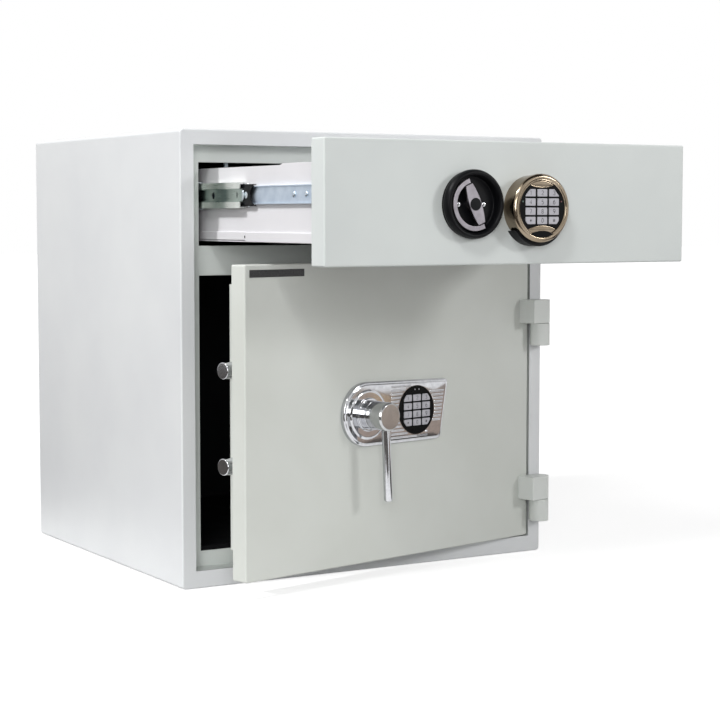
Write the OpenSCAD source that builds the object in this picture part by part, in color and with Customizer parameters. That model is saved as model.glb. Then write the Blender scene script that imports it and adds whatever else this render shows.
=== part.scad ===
// Fire resistant furniture safe with a cash drawer above a hinged door.
// The origin is the centre of the underside. X points right, Y to the back, Z up.
// It stands as photographed: drawer pulled out, door ajar, both locking bolts thrown.

/* [Cabinet] */
// Width of the cabinet
body_w = 576; // [540:1:640]
// Depth of the cabinet
body_d = 505; // [480:1:600]
// Height of the cabinet
body_h = 600; // [580:1:700]
// Sheet thickness of the outer casing
casing_t = 3; // [2:0.5:4]
// Radius of the casing's long edges
corner_r = 5; // [5:0.5:10]
// Width of the front frame's face at the sides and the top
frame_w = 20; // [16:1:26]
// Height of the front frame's face under the door
sill_h = 23; // [18:1:30]
// Sheet thickness of the front frame
frame_sheet = 2.5; // [2:0.1:3]
// Depth of the recess that the door and the drawer front close into
rebate_d = 31.4; // [30:0.1:36]
// Width of the recess's back ledge at the sides and the top
lip_w = 22; // [20:0.5:26]
// Height of the recess's back ledge under the door opening
lip_low_h = 20.2; // [16:0.2:24]
// Height of the drawer opening
drawer_open_h = 109.3; // [106:0.1:116]
// Height of the crossbar between the two openings
crossbar_h = 39.2; // [36:0.2:44]
// Depth of the channel behind the ledge that the locking bolts catch in
channel_d = 30; // [28:0.5:36]
// Thickness of the fire filling behind the liners
back_fill = 40; // [30:1:50]
// Sheet thickness of both liners
liner_t = 1.5; // [1:0.1:2]
// Height of the drawer liner's ceiling above the drawer opening
ceiling_rise = 8; // [7:0.5:10]
// Clearance round the fire fillings
fill_gap = 0.3; // [0.1:0.1:0.5]
// Radius of the floor anchor's hole
anchor_r = 7; // [5:0.5:8]

/* [Drawer] */
// How far the drawer is pulled out
drawer_out = 334; // [0:1:350]
// Gap round the drawer front and the door
reveal = 2.2; // [2:0.1:3]
// Gap between the closed drawer front and the ledge
drawer_buffer = 0.6; // [0.4:0.1:1]
// Height of the drawer front
drawer_front_h = 148.5; // [144:0.5:150]
// Sheet thickness of the drawer front
drawer_sheet = 2; // [1.5:0.1:3]
// Length of the drawer box
box_len = 400; // [380:1:405]
// Sheet thickness of the drawer box
box_sheet = 1.2; // [1:0.1:1.6]
// Gap under the drawer box
box_gap_low = 6.3; // [5:0.1:8]
// Gap between the drawer box and the opening's top edge
box_gap_top = 6; // [5:0.1:8]
// Thickness of the folded hem along the drawer box's lower edge
hem_t = 3; // [2:0.1:4]
// Height of the folded hem
hem_h = 12.5; // [8:0.5:14]

/* [Drawer slides] */
// Width of the space beside the drawer box for one slide
slide_t = 13; // [12.8:0.1:14]
// Length of each slide member
slide_len = 350; // [340:1:360]
// Sheet thickness of the slide members
slide_sheet = 1.2; // [1:0.1:1.3]
// Half height of the drawer member
slide_inner_h = 11.4; // [11:0.1:12]
// Height of the slides' centre line above the drawer box's underside
slide_up = 59; // [54:0.5:60]
// Gap between the ledge and the front ends of the slides
slide_setback = 4; // [3:0.5:8]
// Radius of the slides' balls
ball_r = 1.65; // [1.6:0.01:1.7]
// Room for the balls between the middle and the drawer member
ball_room = 3.6; // [3.5:0.05:3.8]
// Play between the cabinet member and the middle member
slide_play = 0.5; // [0.3:0.1:0.8]
// Travel of the middle member for each millimetre that the drawer travels
middle_share = 0.356; // [0.33:0.001:0.5]
// Length of a ball cage
cage_len = 100; // [90:1:110]
// Distance from the slides' front end to the cage's, with the drawer closed
cage_back = 78.5; // [70:0.5:100]

/* [Drawer handle] */
// Distance of the handle's axis to the left of the cabinet's middle
handle_left = 65.5; // [64:0.5:70]
// Height of the handle's axis above the drawer front's lower edge
handle_up = 72.5; // [68:0.5:78]
// Outer radius of the handle cup's rim
cup_r = 41.5; // [39:0.5:43]
// Radius of the handle cup's mouth
cup_mouth_r = 34; // [33.2:0.1:35]
// Height of the handle cup
cup_h = 15; // [14:0.5:17]
// Thickness of the handle cup's floor
cup_floor = 2.5; // [2:0.1:3]
// Lean of the handle bar to the left
handle_tilt = 22; // [0:0.5:30]
// Half length of the handle bar
bar_half_l = 25; // [23:0.1:25.2]
// Half width of the handle bar in its middle
bar_half_w = 8.6; // [7.8:0.1:9.5]
// Half width of the handle bar's ends
bar_end_w = 5; // [4:0.1:5.5]
// Thickness of the handle bar
bar_t = 4; // [3.5:0.1:6]
// Outer radius of the folding bow
bow_r = 32; // [31.7:0.1:32.5]
// Width of the folding bow's band
bow_band = 6; // [5:0.1:6.2]
// Thickness of the folding bow
bow_t = 3.4; // [3:0.1:4.5]
// Radius of the bow's pivot
bow_pivot_r = 1; // [0.8:0.1:1.2]
// Depth of the bar and the bow below the cup's rim
bow_sunk = 2; // [1:0.5:3]
// Travel of the drawer bolt
drawer_bolt_throw = 12; // [11:0.5:14]

/* [Drawer keypad] */
// Distance of the keypad's axis to the right of the cabinet's middle
pad_right = 24; // [20:0.5:26]
// Height of the keypad's axis above the drawer front's lower edge
pad_up = 68; // [66:0.1:72]
// Outer radius of the keypad's bezel
bezel_r = 41.5; // [40:0.5:43]
// Depth of the keypad's bezel
bezel_d = 7; // [6:0.5:9]
// Radius of the keypad's housing behind the bezel
can_r = 40; // [38:0.5:40.5]
// Depth of the keypad's housing behind the bezel
can_d = 18; // [16:0.5:20]
// Radius of the drawer keypad's face
pad_face_r = 33; // [32.5:0.1:34]
// Radius of the two lens shaped caps above and below the keys
cap_curve_r = 50; // [45:1:60]
// Distance of those caps from the middle of the keys
cap_off = 22.3; // [22:0.1:24]
// Height of the keys' middle above the drawer keypad's axis
keys_up = 1.8; // [0:0.1:2]
// Drop of the battery tray below the keypad's housing
tray_drop = 6; // [5:0.5:8]
// Height of the tray's upper edge below the keypad's axis
tray_top = 27; // [26:0.5:30]

/* [Keys] */
// Width of a key
key_w = 14.6; // [13:0.1:15.4]
// Height of a key
key_h = 9; // [8:0.1:9.6]
// Distance between the keys' columns
key_pitch_x = 17.4; // [17:0.1:17.8]
// Distance between the keys' rows
key_pitch_z = 11.1; // [11:0.1:11.4]
// Thickness of a key
key_t = 3; // [2.5:0.1:3.2]
// Height of the keys above the face
key_proud = 0.8; // [0.5:0.1:1.2]
// Travel of a key
key_travel = 1; // [0.6:0.1:1.2]
// Clearance round a key
key_gap = 0.3; // [0.2:0.05:0.5]
// Thickness of a keypad's face
face_t = 4.5; // [4.2:0.1:5]
// Radius that trims the corner keys
key_trim_r = 29; // [28:0.1:30.5]

/* [Door] */
// How far the door stands open, in degrees
door_ajar = 12.5; // [0:0.5:175]
// Thickness of the door's front shell
door_t = 25.8; // [22:0.1:28]
// Sheet thickness of the door's front shell
door_sheet = 2.5; // [2:0.1:3]
// Sheet thickness of the box on the door's back
inner_sheet = 1.5; // [1:0.1:2]
// Gap between that box and the opening's sides
inner_gap_side = 4.2; // [3.5:0.1:6]
// Gap between that box and the opening's lower edge
inner_gap_low = 15; // [10:0.5:20]
// Gap between that box and the opening's upper edge
inner_gap_top = 8.5; // [6:0.5:12]

/* [Hinges] */
// Distance of the hinge axis from the cabinet's right side
hinge_in = 12; // [10:0.5:14]
// Radius of the hinge barrels
barrel_r = 14; // [12:0.5:14.5]
// Gap between a barrel and the cabinet's front
barrel_gap = 0.5; // [0.3:0.1:1]
// Height of the lower, fixed barrels
barrel_h = 32; // [28:0.5:36]
// Height of the door's hinge blocks
block_h = 33.5; // [30:0.5:38]
// Reach of a hinge block over the door, from the hinge axis
block_reach = 28.5; // [24:0.5:34]
// Gap between a fixed barrel and the block above it
hinge_gap = 0.6; // [0.4:0.1:1]
// Radius of the hinge pins
hinge_pin_r = 5; // [4:0.1:6]
// Height of a hinge pin above its barrel
hinge_pin_up = 27; // [24:0.5:28]
// Radial clearance of every turning shaft
shaft_fit = 0.05; // [0.03:0.01:0.1]
// Height of the lower hinge above the floor
hinge_low_z = 47; // [40:1:60]
// Height of the upper hinge above the floor
hinge_high_z = 302; // [290:1:320]

/* [Locking bolts] */
// Radius of the two locking bolts
bolt_r = 11; // [10:0.1:11.5]
// Gap between a thrown bolt and the ledge that it locks behind
bolt_gap = 0.8; // [0.5:0.1:1.2]
// Room between the bolts and the inner box's back
bolt_room = 0.6; // [0.4:0.1:1]
// Clearance of a bolt in its hole
bolt_fit = 0.3; // [0.2:0.05:0.5]
// How far the thrown bolts stand out of the inner box
bolt_proud = 23.2; // [21:0.1:24]
// Travel of the locking bolts
bolt_throw = 20; // [18:0.5:20.5]
// Height of the lower bolt's axis
bolt_low_z = 169; // [150:1:180]
// Distance between the two bolts' axes
bolt_pitch = 123; // [110:1:130]

/* [Door handle and keypad] */
// Distance of the handle's axis to the left of the cabinet's middle
hub_left = 60; // [56:1:64]
// Height of the handle's axis
hub_z = 225.5; // [215:0.5:230]
// Turn of the lever from thrown to drawn
lever_turn = 80; // [60:1:90]
// Radius of the handle's hub
hub_r = 19; // [17:0.5:20]
// Distance from the door's face to the hub's front end
hub_out = 50; // [46:0.5:56]
// Radius of the lever
lever_r = 5.75; // [5:0.25:6.5]
// Length of the lever from the hub's axis
lever_len = 113; // [100:1:130]
// Lean of the hanging lever to the right, in degrees
lever_lean = 5; // [0:0.5:10]
// Radius of the spindle
spindle_r = 5; // [4:0.1:6]
// Thickness of the escutcheon
plate_t = 8; // [6:0.5:9]
// Radius of the escutcheon's round end
plate_r = 43; // [40:0.5:46]
// Reach of the escutcheon's upper right corner from the handle's axis
plate_reach = 152.5; // [150:0.5:165]
// How much further the upper right corner reaches than the lower one
plate_slant = 12.5; // [8:0.5:20]
// How much lower the upper right corner lies than the round end's top
plate_fall = 3.5; // [0:0.5:6]
// Radius of the escutcheon's two right corners
plate_corner_r = 7; // [5:0.5:10]
// Length of the fixed collar under the hub
collar_h = 14; // [12:0.5:16]
// Distance between the handle's and the door keypad's axis
door_pad_off = 90; // [88:0.5:91]
// How far the door keypad's face stands out of the escutcheon
door_face_proud = 1; // [0.5:0.1:1.5]
// Radius of the door keypad's face
door_face_r = 33; // [32.5:0.1:34]

/* [Hidden] */
$fn = 64;
KEYS = ["1", "2", "3", "4", "5", "6", "7", "8", "9", "star", "0", "hash"];

// Over-length of a cut that runs out of a piece
cut = 1;

// Front frame and its two openings, with the front face at y = 0
inner_r = max(corner_r - casing_t, 0.5);
rebate_x = body_w / 2 - frame_w;
open_x = rebate_x - lip_w;
lip_back = rebate_d + frame_sheet;
channel_back = lip_back + channel_d;
rebate_top = body_h - frame_w;
drawer_open_top = rebate_top - lip_w;
drawer_open_low = drawer_open_top - drawer_open_h;
door_open_top = drawer_open_low - crossbar_h;
door_open_low = sill_h + lip_low_h;
crossbar_mid = (drawer_open_low + door_open_top) / 2;
liner_back = body_d - casing_t - back_fill - liner_t;
ceiling_z = drawer_open_top + ceiling_rise;
anchor_clear_r = anchor_r + 2;

// Drawer, in its closed place
drawer_front_t = rebate_d - drawer_buffer;
front_x = rebate_x - reveal;
drawer_top = rebate_top - reveal;
drawer_low = drawer_top - drawer_front_h;
box_x = open_x - slide_t;
box_low = drawer_open_low + box_gap_low;
box_top = drawer_open_top - box_gap_top;
box_back = drawer_front_t + box_len;

// Slides: half heights from the drawer member outwards, and depths from the liner's wall
slide_y = lip_back + slide_setback;
slide_z = box_low + slide_up;
middle_in_h = slide_inner_h + ball_room;
middle_h = middle_in_h + slide_sheet;
outer_in_h = middle_h + slide_play;
outer_h = outer_in_h + slide_sheet;
outer_lip = 9;
middle_face = 2.6;
middle_web = 5.6;
middle_edge = slide_t - 1.6;
middle_rail = 7.5;
cage_t = 1;
cage_web = middle_web + slide_sheet + 0.3;
cage_edge = slide_t - 2.1;
inner_edge = cage_web + cage_t + 0.3;
ball_depth = inner_edge + ball_r;
balls = 6;
ball_pitch = cage_len / (balls + 1);
middle_out = drawer_out * middle_share;
cage_out = (drawer_out + middle_out) / 2;
cage_h = slide_inner_h + ball_room / 2 + cage_t / 2;
middle_hole_r = 4.3;
middle_hole_back = 80;
middle_slot_back = 12;
middle_slot_w = 2.5;
middle_slot_h = 3.8;
inner_hole_r = 2.6;
inner_holes = [59, 89.5];

// Drawer handle and its bolt
handle_x = -handle_left;
handle_z = drawer_low + handle_up;
bar_front = cup_h - bow_sunk;
bar_back = bar_front - bar_t;
bow_front = bar_front;
bow_mid = bow_front - bow_t / 2;
bow_in_r = bow_r - bow_band;
bar_sag = bar_half_w - bar_end_w;
bar_curve_r = (bar_half_l * bar_half_l + bar_sag * bar_sag) / (2 * bar_sag);
bow_over = 3;
pivot_l = bow_in_r + 4;
bar_boss_r = 8;
bar_cap_r = 7;
cam_pin_r = 3;
cam_fit = 0.5;
bow_turn = 90 - handle_tilt;
bow_cam_r = drawer_bolt_throw / (2 * sin(bow_turn / 2));
bow_pin_x = handle_x + bow_cam_r * cos(bow_turn / 2);
bolt_plate_t = 4;
bolt_plate_y = 66;
cam_plate_t = 4;
cam_plate_y = bolt_plate_y - cam_plate_t - 1;
keeper_x = -open_x + 56;
keeper_w = 5;
keeper_t = 4;
keeper_y = bolt_plate_y - 1 - keeper_t;
keeper_low = box_top + 1.5;
finger_w = 12;
finger_top = box_top - 1;
slot_z = handle_z - drawer_bolt_throw / 2;
slot_half_h = cam_pin_r + cam_fit;
bolt_plate_edge = cam_pin_r + 6;
case_sheet = 1.5;
case_edge = 15;
case_beyond = 38;
case_left = keeper_x - case_edge;
case_right = pad_right + case_beyond;
case_back = 76;
case_low = box_low + 13;
case_top = box_top - 1;

// Drawer keypad
pad_x = pad_right;
pad_z = drawer_low + pad_up;
pad_out = can_d + bezel_d;
pad_face_out = pad_out - 1;
pad_recess = pad_face_out - face_t;
cap_centre = cap_off + cap_curve_r;
tray_wall = 0.3;
face_fit = 0.1;
holder_x = 16.5;
holder_top = 14;
holder_front = can_d - 1.5;
holder_back = 3.5;
window_half_l = 16;
window_half_h = 3.8;
window_z = -31;
window_d = 1.5;
window_curve_r = (pow(window_half_l, 2) + pow(window_half_h, 2)) / (2 * window_half_h);

// Door, in its closed place
hinge_x = body_w / 2 - hinge_in;
hinge_y = -barrel_r - barrel_gap;
door_low = sill_h + reveal;
door_top = drawer_low - reveal;
pan_x = front_x - door_sheet;
inner_x = open_x - inner_gap_side;
inner_low = door_open_low + inner_gap_low;
inner_top = door_open_top - inner_gap_top;
bolt_y = lip_back + bolt_gap + bolt_r;
inner_back = bolt_y + bolt_r + bolt_room + inner_sheet;
plate_back = door_t - inner_sheet;
bolt_high_z = bolt_low_z + bolt_pitch;
bolt_end = -inner_x - bolt_proud;
bolt_rear = -inner_x + bolt_throw;
bar_w = 12;
bar_reach = 15;
bar_depth = 7.5;
bar_foot = hinge_low_z + 4;

// Door handle, its cam, the lock and the keypad
hub_x = -hub_left;
hub_gap = 0.3;
collar_out = plate_t + collar_h;
collar_r = hub_r + 0.5;
collar_ring_r = hub_r + 3;
collar_ring_h = 4;
spindle_out = collar_out + 13;
lever_out = hub_out - 10;
lever_seat = 8;
door_cam_pin_r = 4;
cam_r = bolt_throw / (2 * sin(lever_turn / 2));
disc_t = 5;
disc_y = door_t + 4.2;
arm_half_t = 2.5;
arm_low = hub_z + 2;
arm_top = hub_z + cam_r + door_cam_pin_r + 6;
arm_end = hub_x - cam_r * sin(lever_turn / 2) + door_cam_pin_r + 10;
lock_gap = 0.3;
lock_bolt_l = 71;
lock_half_t = 4;
lock_bolt_out = 26;
lock_l = 80;
lock_edge = 14;
lock_left = arm_end + lock_gap + bolt_throw + lock_bolt_out;
lock_right = lock_left + lock_l;
lock_low = arm_low - lock_edge;
lock_top = arm_top + lock_edge;
lock_back = bolt_y + 9;
door_pad_x = hub_x + door_pad_off;
door_face_out = plate_t + door_face_proud;
door_face_back = door_face_out - face_t;
cable_r = 6;
spindle_clear_r = spindle_r + 1;

// A box from its limits on each axis
module span(x, y, z)
    translate([x[0], y[0], z[0]]) cube([x[1] - x[0], y[1] - y[0], z[1] - z[0]]);

// A flat outline in X and Z made solid from y = a to y = b
module slab(a, b)
    translate([0, b, 0]) rotate([90, 0, 0]) linear_extrude(b - a) children();

// A rectangle with round corners
module rounded_rect(x, z, r) {
    translate([x[0] + r, z[0]]) square([x[1] - x[0] - 2 * r, z[1] - z[0]]);
    translate([x[0], z[0] + r]) square([x[1] - x[0], z[1] - z[0] - 2 * r]);
    for (a = [x[0] + r, x[1] - r], b = [z[0] + r, z[1] - r]) translate([a, b]) circle(r);
}

// A round bar along Y, from y = a to y = b
module rod_y(x, z, r, a, b)
    translate([x, b, z]) rotate([90, 0, 0]) cylinder(r = r, h = b - a);

// A round bar along X, from x = a to x = b
module rod_x(y, z, r, a, b)
    translate([a, y, z]) rotate([0, 90, 0]) cylinder(r = r, h = b - a);

// Moves pieces drawn with the cabinet's front at y = 0 into the part's own frame
module at_cabinet() translate([0, -body_d / 2, 0]) children();

module at_drawer() at_cabinet() translate([0, -drawer_out, 0]) children();

module at_door()
    at_cabinet() translate([hinge_x, hinge_y, 0]) rotate([0, 0, door_ajar])
        translate([-hinge_x, -hinge_y, 0]) children();

// The same piece on the left and, mirrored, on the right
module both_sides() {
    children();
    mirror([1, 0, 0]) children();
}

// Cabinet

// The inside outline of the casing, drawn in by a clearance
module casing_inside(gap) {
    edge = casing_t + gap;
    rounded_rect([-body_w / 2 + edge, body_w / 2 - edge], [edge, body_h - edge], inner_r);
}

// Hole for the floor anchor from z = a to z = b
module anchor_hole(r, a, b) translate([0, body_d / 2, a]) cylinder(r = r, h = b - a);

// One folded sheet: left side, top, right side and bottom
module outer_casing() color("#dcdfe0") at_cabinet() difference() {
    slab(0, body_d) rounded_rect([-body_w / 2, body_w / 2], [0, body_h], corner_r);
    slab(-cut, body_d + cut) casing_inside(0);
    anchor_hole(anchor_r, -cut, casing_t + cut);
}

module back_panel() color("#dcdfe0") at_cabinet()
    slab(body_d - casing_t, body_d) casing_inside(0);

// Light mineral filling between the casing, the frame and the liners
module fire_filling() color("#b9b4a8") at_cabinet() difference() {
    frame_out = rebate_x + frame_sheet + fill_gap;
    liner_out = open_x + liner_t + fill_gap;
    skin = liner_t + fill_gap;
    slab(frame_sheet + fill_gap, body_d - casing_t - fill_gap) casing_inside(fill_gap);
    span([-frame_out, frame_out], [0, lip_back + fill_gap],
        [sill_h - frame_sheet - fill_gap, rebate_top + frame_sheet + fill_gap]);
    span([-frame_out, frame_out], [0, channel_back + skin],
        [sill_h - frame_sheet - fill_gap, crossbar_mid + frame_sheet + fill_gap]);
    span([-liner_out, liner_out], [0, liner_back + skin], [door_open_low - skin, door_open_top + skin]);
    span([-liner_out, liner_out], [0, liner_back + skin], [drawer_open_low - skin, ceiling_z + skin]);
    anchor_hole(anchor_clear_r, 0, door_open_low);
}

// Folded frame: face, recess walls, ledge, crossbar and the bolt channel behind the ledge
module front_frame() color("#d3d8d8") at_cabinet() difference() {
    frame_x = rebate_x + frame_sheet;
    union() {
        slab(0, frame_sheet) casing_inside(0);
        span([-frame_x, frame_x], [0, lip_back], [sill_h - frame_sheet, rebate_top + frame_sheet]);
        span([-frame_x, frame_x], [0, channel_back], [sill_h - frame_sheet, crossbar_mid + frame_sheet]);
    }
    span([-rebate_x, rebate_x], [-cut, rebate_d], [sill_h, rebate_top]);
    span([-open_x, open_x], [-cut, lip_back + cut], [drawer_open_low, drawer_open_top]);
    span([-open_x, open_x], [-cut, channel_back + cut], [door_open_low, door_open_top]);
    span([-rebate_x, rebate_x], [lip_back, channel_back + cut], [sill_h, crossbar_mid]);
}

// Sheet lining of the safe compartment, with a flange that closes the bolt channel
module safe_liner() color("#26282a") at_cabinet() difference() {
    frame_x = rebate_x + frame_sheet;
    union() {
        span([-open_x - liner_t, open_x + liner_t], [channel_back, liner_back + liner_t],
            [door_open_low - liner_t, door_open_top + liner_t]);
        span([-frame_x, frame_x], [channel_back, channel_back + liner_t],
            [sill_h - frame_sheet, crossbar_mid + frame_sheet]);
    }
    span([-open_x, open_x], [channel_back - cut, liner_back], [door_open_low, door_open_top]);
    anchor_hole(anchor_r, 0, door_open_low + cut);
}

module drawer_liner() color("#26282a") at_cabinet() difference() {
    span([-open_x - liner_t, open_x + liner_t], [lip_back, liner_back + liner_t],
        [drawer_open_low - liner_t, ceiling_z + liner_t]);
    span([-open_x, open_x], [lip_back - cut, liner_back], [drawer_open_low, ceiling_z]);
}

// Hook that hangs from the drawer liner's ceiling, in front of the thrown drawer bolt
module drawer_keeper() color("#b8c4cc") at_cabinet() {
    foot_w = 16;
    foot_l = 24;
    foot_t = 1.5;
    span([keeper_x - keeper_w / 2, keeper_x + keeper_w / 2], [keeper_y, keeper_y + keeper_t],
        [keeper_low, ceiling_z]);
    span([keeper_x - foot_w / 2, keeper_x + foot_w / 2], [keeper_y + keeper_t - foot_l, keeper_y + keeper_t],
        [ceiling_z - foot_t, ceiling_z]);
}

// Hinges

// Fixed barrel on a foot that is welded to the frame's face
module fixed_barrel(z) difference() {
    union() {
        translate([hinge_x, hinge_y, z]) cylinder(r = barrel_r, h = barrel_h);
        span([rebate_x + 0.5, body_w / 2], [hinge_y, 0], [z, z + barrel_h]);
    }
    translate([hinge_x, hinge_y, z + 4]) cylinder(r = hinge_pin_r, h = barrel_h);
}

module hinge_barrels() color("#c3c8c5") at_cabinet()
    for (z = [hinge_low_z, hinge_high_z]) fixed_barrel(z);

module hinge_pins() color("#8d9297") at_cabinet()
    for (z = [hinge_low_z, hinge_high_z]) translate([hinge_x, hinge_y, z + 4])
        cylinder(r = hinge_pin_r, h = barrel_h - 4 + hinge_pin_up);

// Block on the door's face with a blind bore for the hinge pin
module hinge_block(z) difference() {
    foot = z + barrel_h + hinge_gap;
    union() {
        translate([hinge_x, hinge_y, foot]) cylinder(r = barrel_r, h = block_h);
        span([hinge_x - block_reach, hinge_x], [hinge_y - barrel_r, hinge_y + barrel_r],
            [foot, foot + block_h]);
        span([hinge_x - block_reach, front_x - 1], [-barrel_gap, 0], [foot, foot + block_h]);
    }
    translate([hinge_x, hinge_y, foot - cut])
        cylinder(r = hinge_pin_r + shaft_fit, h = hinge_pin_up - hinge_gap + cut + 0.3);
}

module door_hinge_blocks() color("#c3c8c5") at_door()
    for (z = [hinge_low_z, hinge_high_z]) hinge_block(z);

// Drawer slides

// A strip of a left slide's section: depths from the liner's wall, heights from the centre line
module strip(u, v, y) span([-open_x + u[0], -open_x + u[1]], y, [slide_z + v[0], slide_z + v[1]]);

// The same strip above and below the centre line
module strips(u, v, y) {
    strip(u, v, y);
    strip(u, [-v[1], -v[0]], y);
}

module slide_outer_members() color("#aeb6ba") at_cabinet() both_sides() {
    y = [slide_y, slide_y + slide_len];
    strip([0, slide_sheet], [-outer_h, outer_h], y);
    strips([0, outer_lip], [outer_in_h, outer_h], y);
}

module slide_middle_members() color("#bcc4c6") at_cabinet() translate([0, -middle_out, 0]) both_sides()
    difference() {
        y = [slide_y, slide_y + slide_len];
        rail_low = middle_h - middle_rail - slide_sheet;
        union() {
            strip([middle_web, middle_web + slide_sheet], [-rail_low - slide_sheet, rail_low + slide_sheet], y);
            strips([middle_face, middle_web + slide_sheet], [rail_low, rail_low + slide_sheet], y);
            strips([middle_face, middle_face + slide_sheet], [rail_low, middle_h], y);
            strips([middle_face, middle_edge], [middle_in_h, middle_h], y);
        }
        rod_x(slide_y + middle_hole_back, slide_z, middle_hole_r, -open_x, -open_x + slide_t);
        strip([0, slide_t], [-middle_slot_h, middle_slot_h],
            [slide_y + middle_slot_back, slide_y + middle_slot_back + middle_slot_w]);
    }

// Black cage with a concave front end, and its balls
module slide_ball_cages() at_cabinet() translate([0, -cage_out, 0]) both_sides() {
    y = [slide_y + cage_back, slide_y + cage_back + cage_len];
    spots = [for (i = [1:balls]) y[0] + slide_inner_h / 2 + i * (ball_pitch - 1)];
    color("#1c1f24") difference() {
        union() {
            strip([cage_web, cage_web + cage_t], [-cage_h, cage_h], y);
            strips([cage_web, cage_edge], [cage_h - cage_t, cage_h], y);
        }
        rod_x(y[0], slide_z, slide_inner_h, -open_x, -open_x + slide_t);
        for (s = spots) translate([-open_x + ball_depth, s, slide_z - cage_h - cut])
            cylinder(r = ball_r + 0.15, h = 2 * (cage_h + cut));
    }
    color("#d8dde0") for (s = spots, side = [-1, 1])
        translate([-open_x + ball_depth, s, slide_z + side * (slide_inner_h + ball_room / 2)]) sphere(ball_r);
}

module slide_inner_members() color("#b9c3ca") at_drawer() both_sides() {
    y = [slide_y, slide_y + slide_len];
    difference() {
        strip([slide_t - slide_sheet, slide_t], [-slide_inner_h, slide_inner_h], y);
        for (back = inner_holes) rod_x(slide_y + back, slide_z, inner_hole_r, -open_x, -open_x + 2 * slide_t);
    }
    strips([inner_edge, slide_t], [slide_inner_h - slide_sheet, slide_inner_h], y);
}

// Drawer

// Folded hollow front, with holes for the handle's spindle and the keypad's cable
module drawer_front() color("#d0d5d5") at_drawer() difference() {
    span([-front_x, front_x], [0, drawer_front_t], [drawer_low, drawer_top]);
    span([-front_x + drawer_sheet, front_x - drawer_sheet], [drawer_sheet, drawer_front_t - drawer_sheet],
        [drawer_low + drawer_sheet, drawer_top - drawer_sheet]);
    rod_y(handle_x, handle_z, spindle_r + shaft_fit, -cut, drawer_sheet + cut);
    rod_y(handle_x, handle_z, spindle_clear_r, drawer_sheet, drawer_front_t + cut);
    rod_y(pad_x, pad_z, cable_r, -cut, drawer_front_t + cut);
}

// Tray with an outward hem along its lower edge, open on top and closed by the front pan's back sheet
module drawer_box() color("#e4e4e6") at_drawer() difference() {
    union() {
        span([-box_x, box_x], [drawer_front_t, box_back], [box_low, box_top]);
        span([-box_x - hem_t, box_x + hem_t], [drawer_front_t, box_back], [box_low, box_low + hem_h]);
    }
    span([-box_x + box_sheet, box_x - box_sheet], [drawer_front_t - cut, box_back - box_sheet],
        [box_low + box_sheet, box_top + cut]);
}

// Cover over the lock and the bolt plate, open towards the drawer's front
module drawer_lock_case() color("#c9ccce") at_drawer() difference() {
    y = [drawer_front_t, case_back];
    span([case_left, case_right], y, [case_low, case_top]);
    span([case_left + case_sheet, case_right - case_sheet], [y[0] - cut, y[1] - case_sheet],
        [case_low + case_sheet, case_top - case_sheet]);
    span([keeper_x - finger_w / 2 - 1, keeper_x + finger_w / 2 + 1],
        [bolt_plate_y - 1, bolt_plate_y + bolt_plate_t + 1], [case_top - 2 * case_sheet, case_top + cut]);
}

// Plate that the handle's cam lifts by its slot, with a finger that catches behind the keeper
module drawer_bolt() color("#b8c0c6") at_drawer() difference() {
    y = [bolt_plate_y, bolt_plate_y + bolt_plate_t];
    far_x = handle_x + bow_cam_r;
    union() {
        span([keeper_x - finger_w / 2, far_x + bolt_plate_edge], y,
            [slot_z - bolt_plate_edge, slot_z + bolt_plate_edge]);
        span([keeper_x - finger_w / 2, keeper_x + finger_w / 2], y, [slot_z - bolt_plate_edge, finger_top]);
    }
    span([bow_pin_x - slot_half_h, far_x + slot_half_h], [y[0] - cut, y[1] + cut],
        [slot_z - slot_half_h, slot_z + slot_half_h]);
}

// Round cup with a rolled rim, drawn about the handle's axis
module handle_cup() color("#191a1c") at_drawer() translate([handle_x, 0, handle_z]) rotate([90, 0, 0])
    difference() {
        rim = (cup_r - cup_mouth_r) / 2;
        union() {
            cylinder(r = cup_r - 1.5, h = cup_h - rim);
            translate([0, 0, cup_h - rim]) rotate_extrude() translate([cup_r - rim, 0]) circle(rim);
            translate([0, 0, cup_h - rim - 3]) cylinder(r = cup_r, h = 3);
        }
        translate([0, 0, cup_floor]) cylinder(r = cup_mouth_r, h = cup_h);
        translate([0, 0, -cut]) cylinder(r = spindle_r + shaft_fit, h = cup_floor + 2 * cut);
    }

// Places what turns with the drawer handle: Z of the child points out of the drawer's front
module on_handle() at_drawer() translate([handle_x, 0, handle_z]) rotate([90, 0, 0])
    rotate([0, 0, handle_tilt]) children();

// Lens shaped bar on its spindle, with two stubs that the bow swings on
module bow_bar() {
    color("#a3a1a4") on_handle() difference() {
        union() {
            translate([0, 0, bar_back]) linear_extrude(bar_t) intersection() {
                for_lens();
                square([2 * bar_half_w + 2, 2 * bar_half_l], center = true);
            }
            translate([0, 0, cup_floor + 0.3]) cylinder(r = bar_boss_r, h = bar_back - cup_floor - 0.3);
            translate([0, 0, bow_mid]) rotate([90, 0, 0]) cylinder(r = bow_pivot_r, h = 2 * pivot_l, center = true);
            translate([0, 0, -cam_plate_y - 1]) cylinder(r = spindle_r, h = cam_plate_y + bar_back);
        }
        translate([0, 0, bar_front - 1]) cylinder(r = bar_cap_r, h = 2);
    }
    color("#a3a1a4") at_drawer() {
        rod_y(handle_x, handle_z, bow_cam_r + cam_pin_r + 1.5, cam_plate_y, cam_plate_y + cam_plate_t);
        rod_y(bow_pin_x, slot_z, cam_pin_r, cam_plate_y + 1, bolt_plate_y + bolt_plate_t + 0.5);
    }
}

// Two circles that meet in a lens as wide as the bar
module for_lens() intersection_for(side = [-1, 1])
    translate([side * (bar_curve_r - bar_half_w), 0]) circle(bar_curve_r, $fn = 180);

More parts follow.
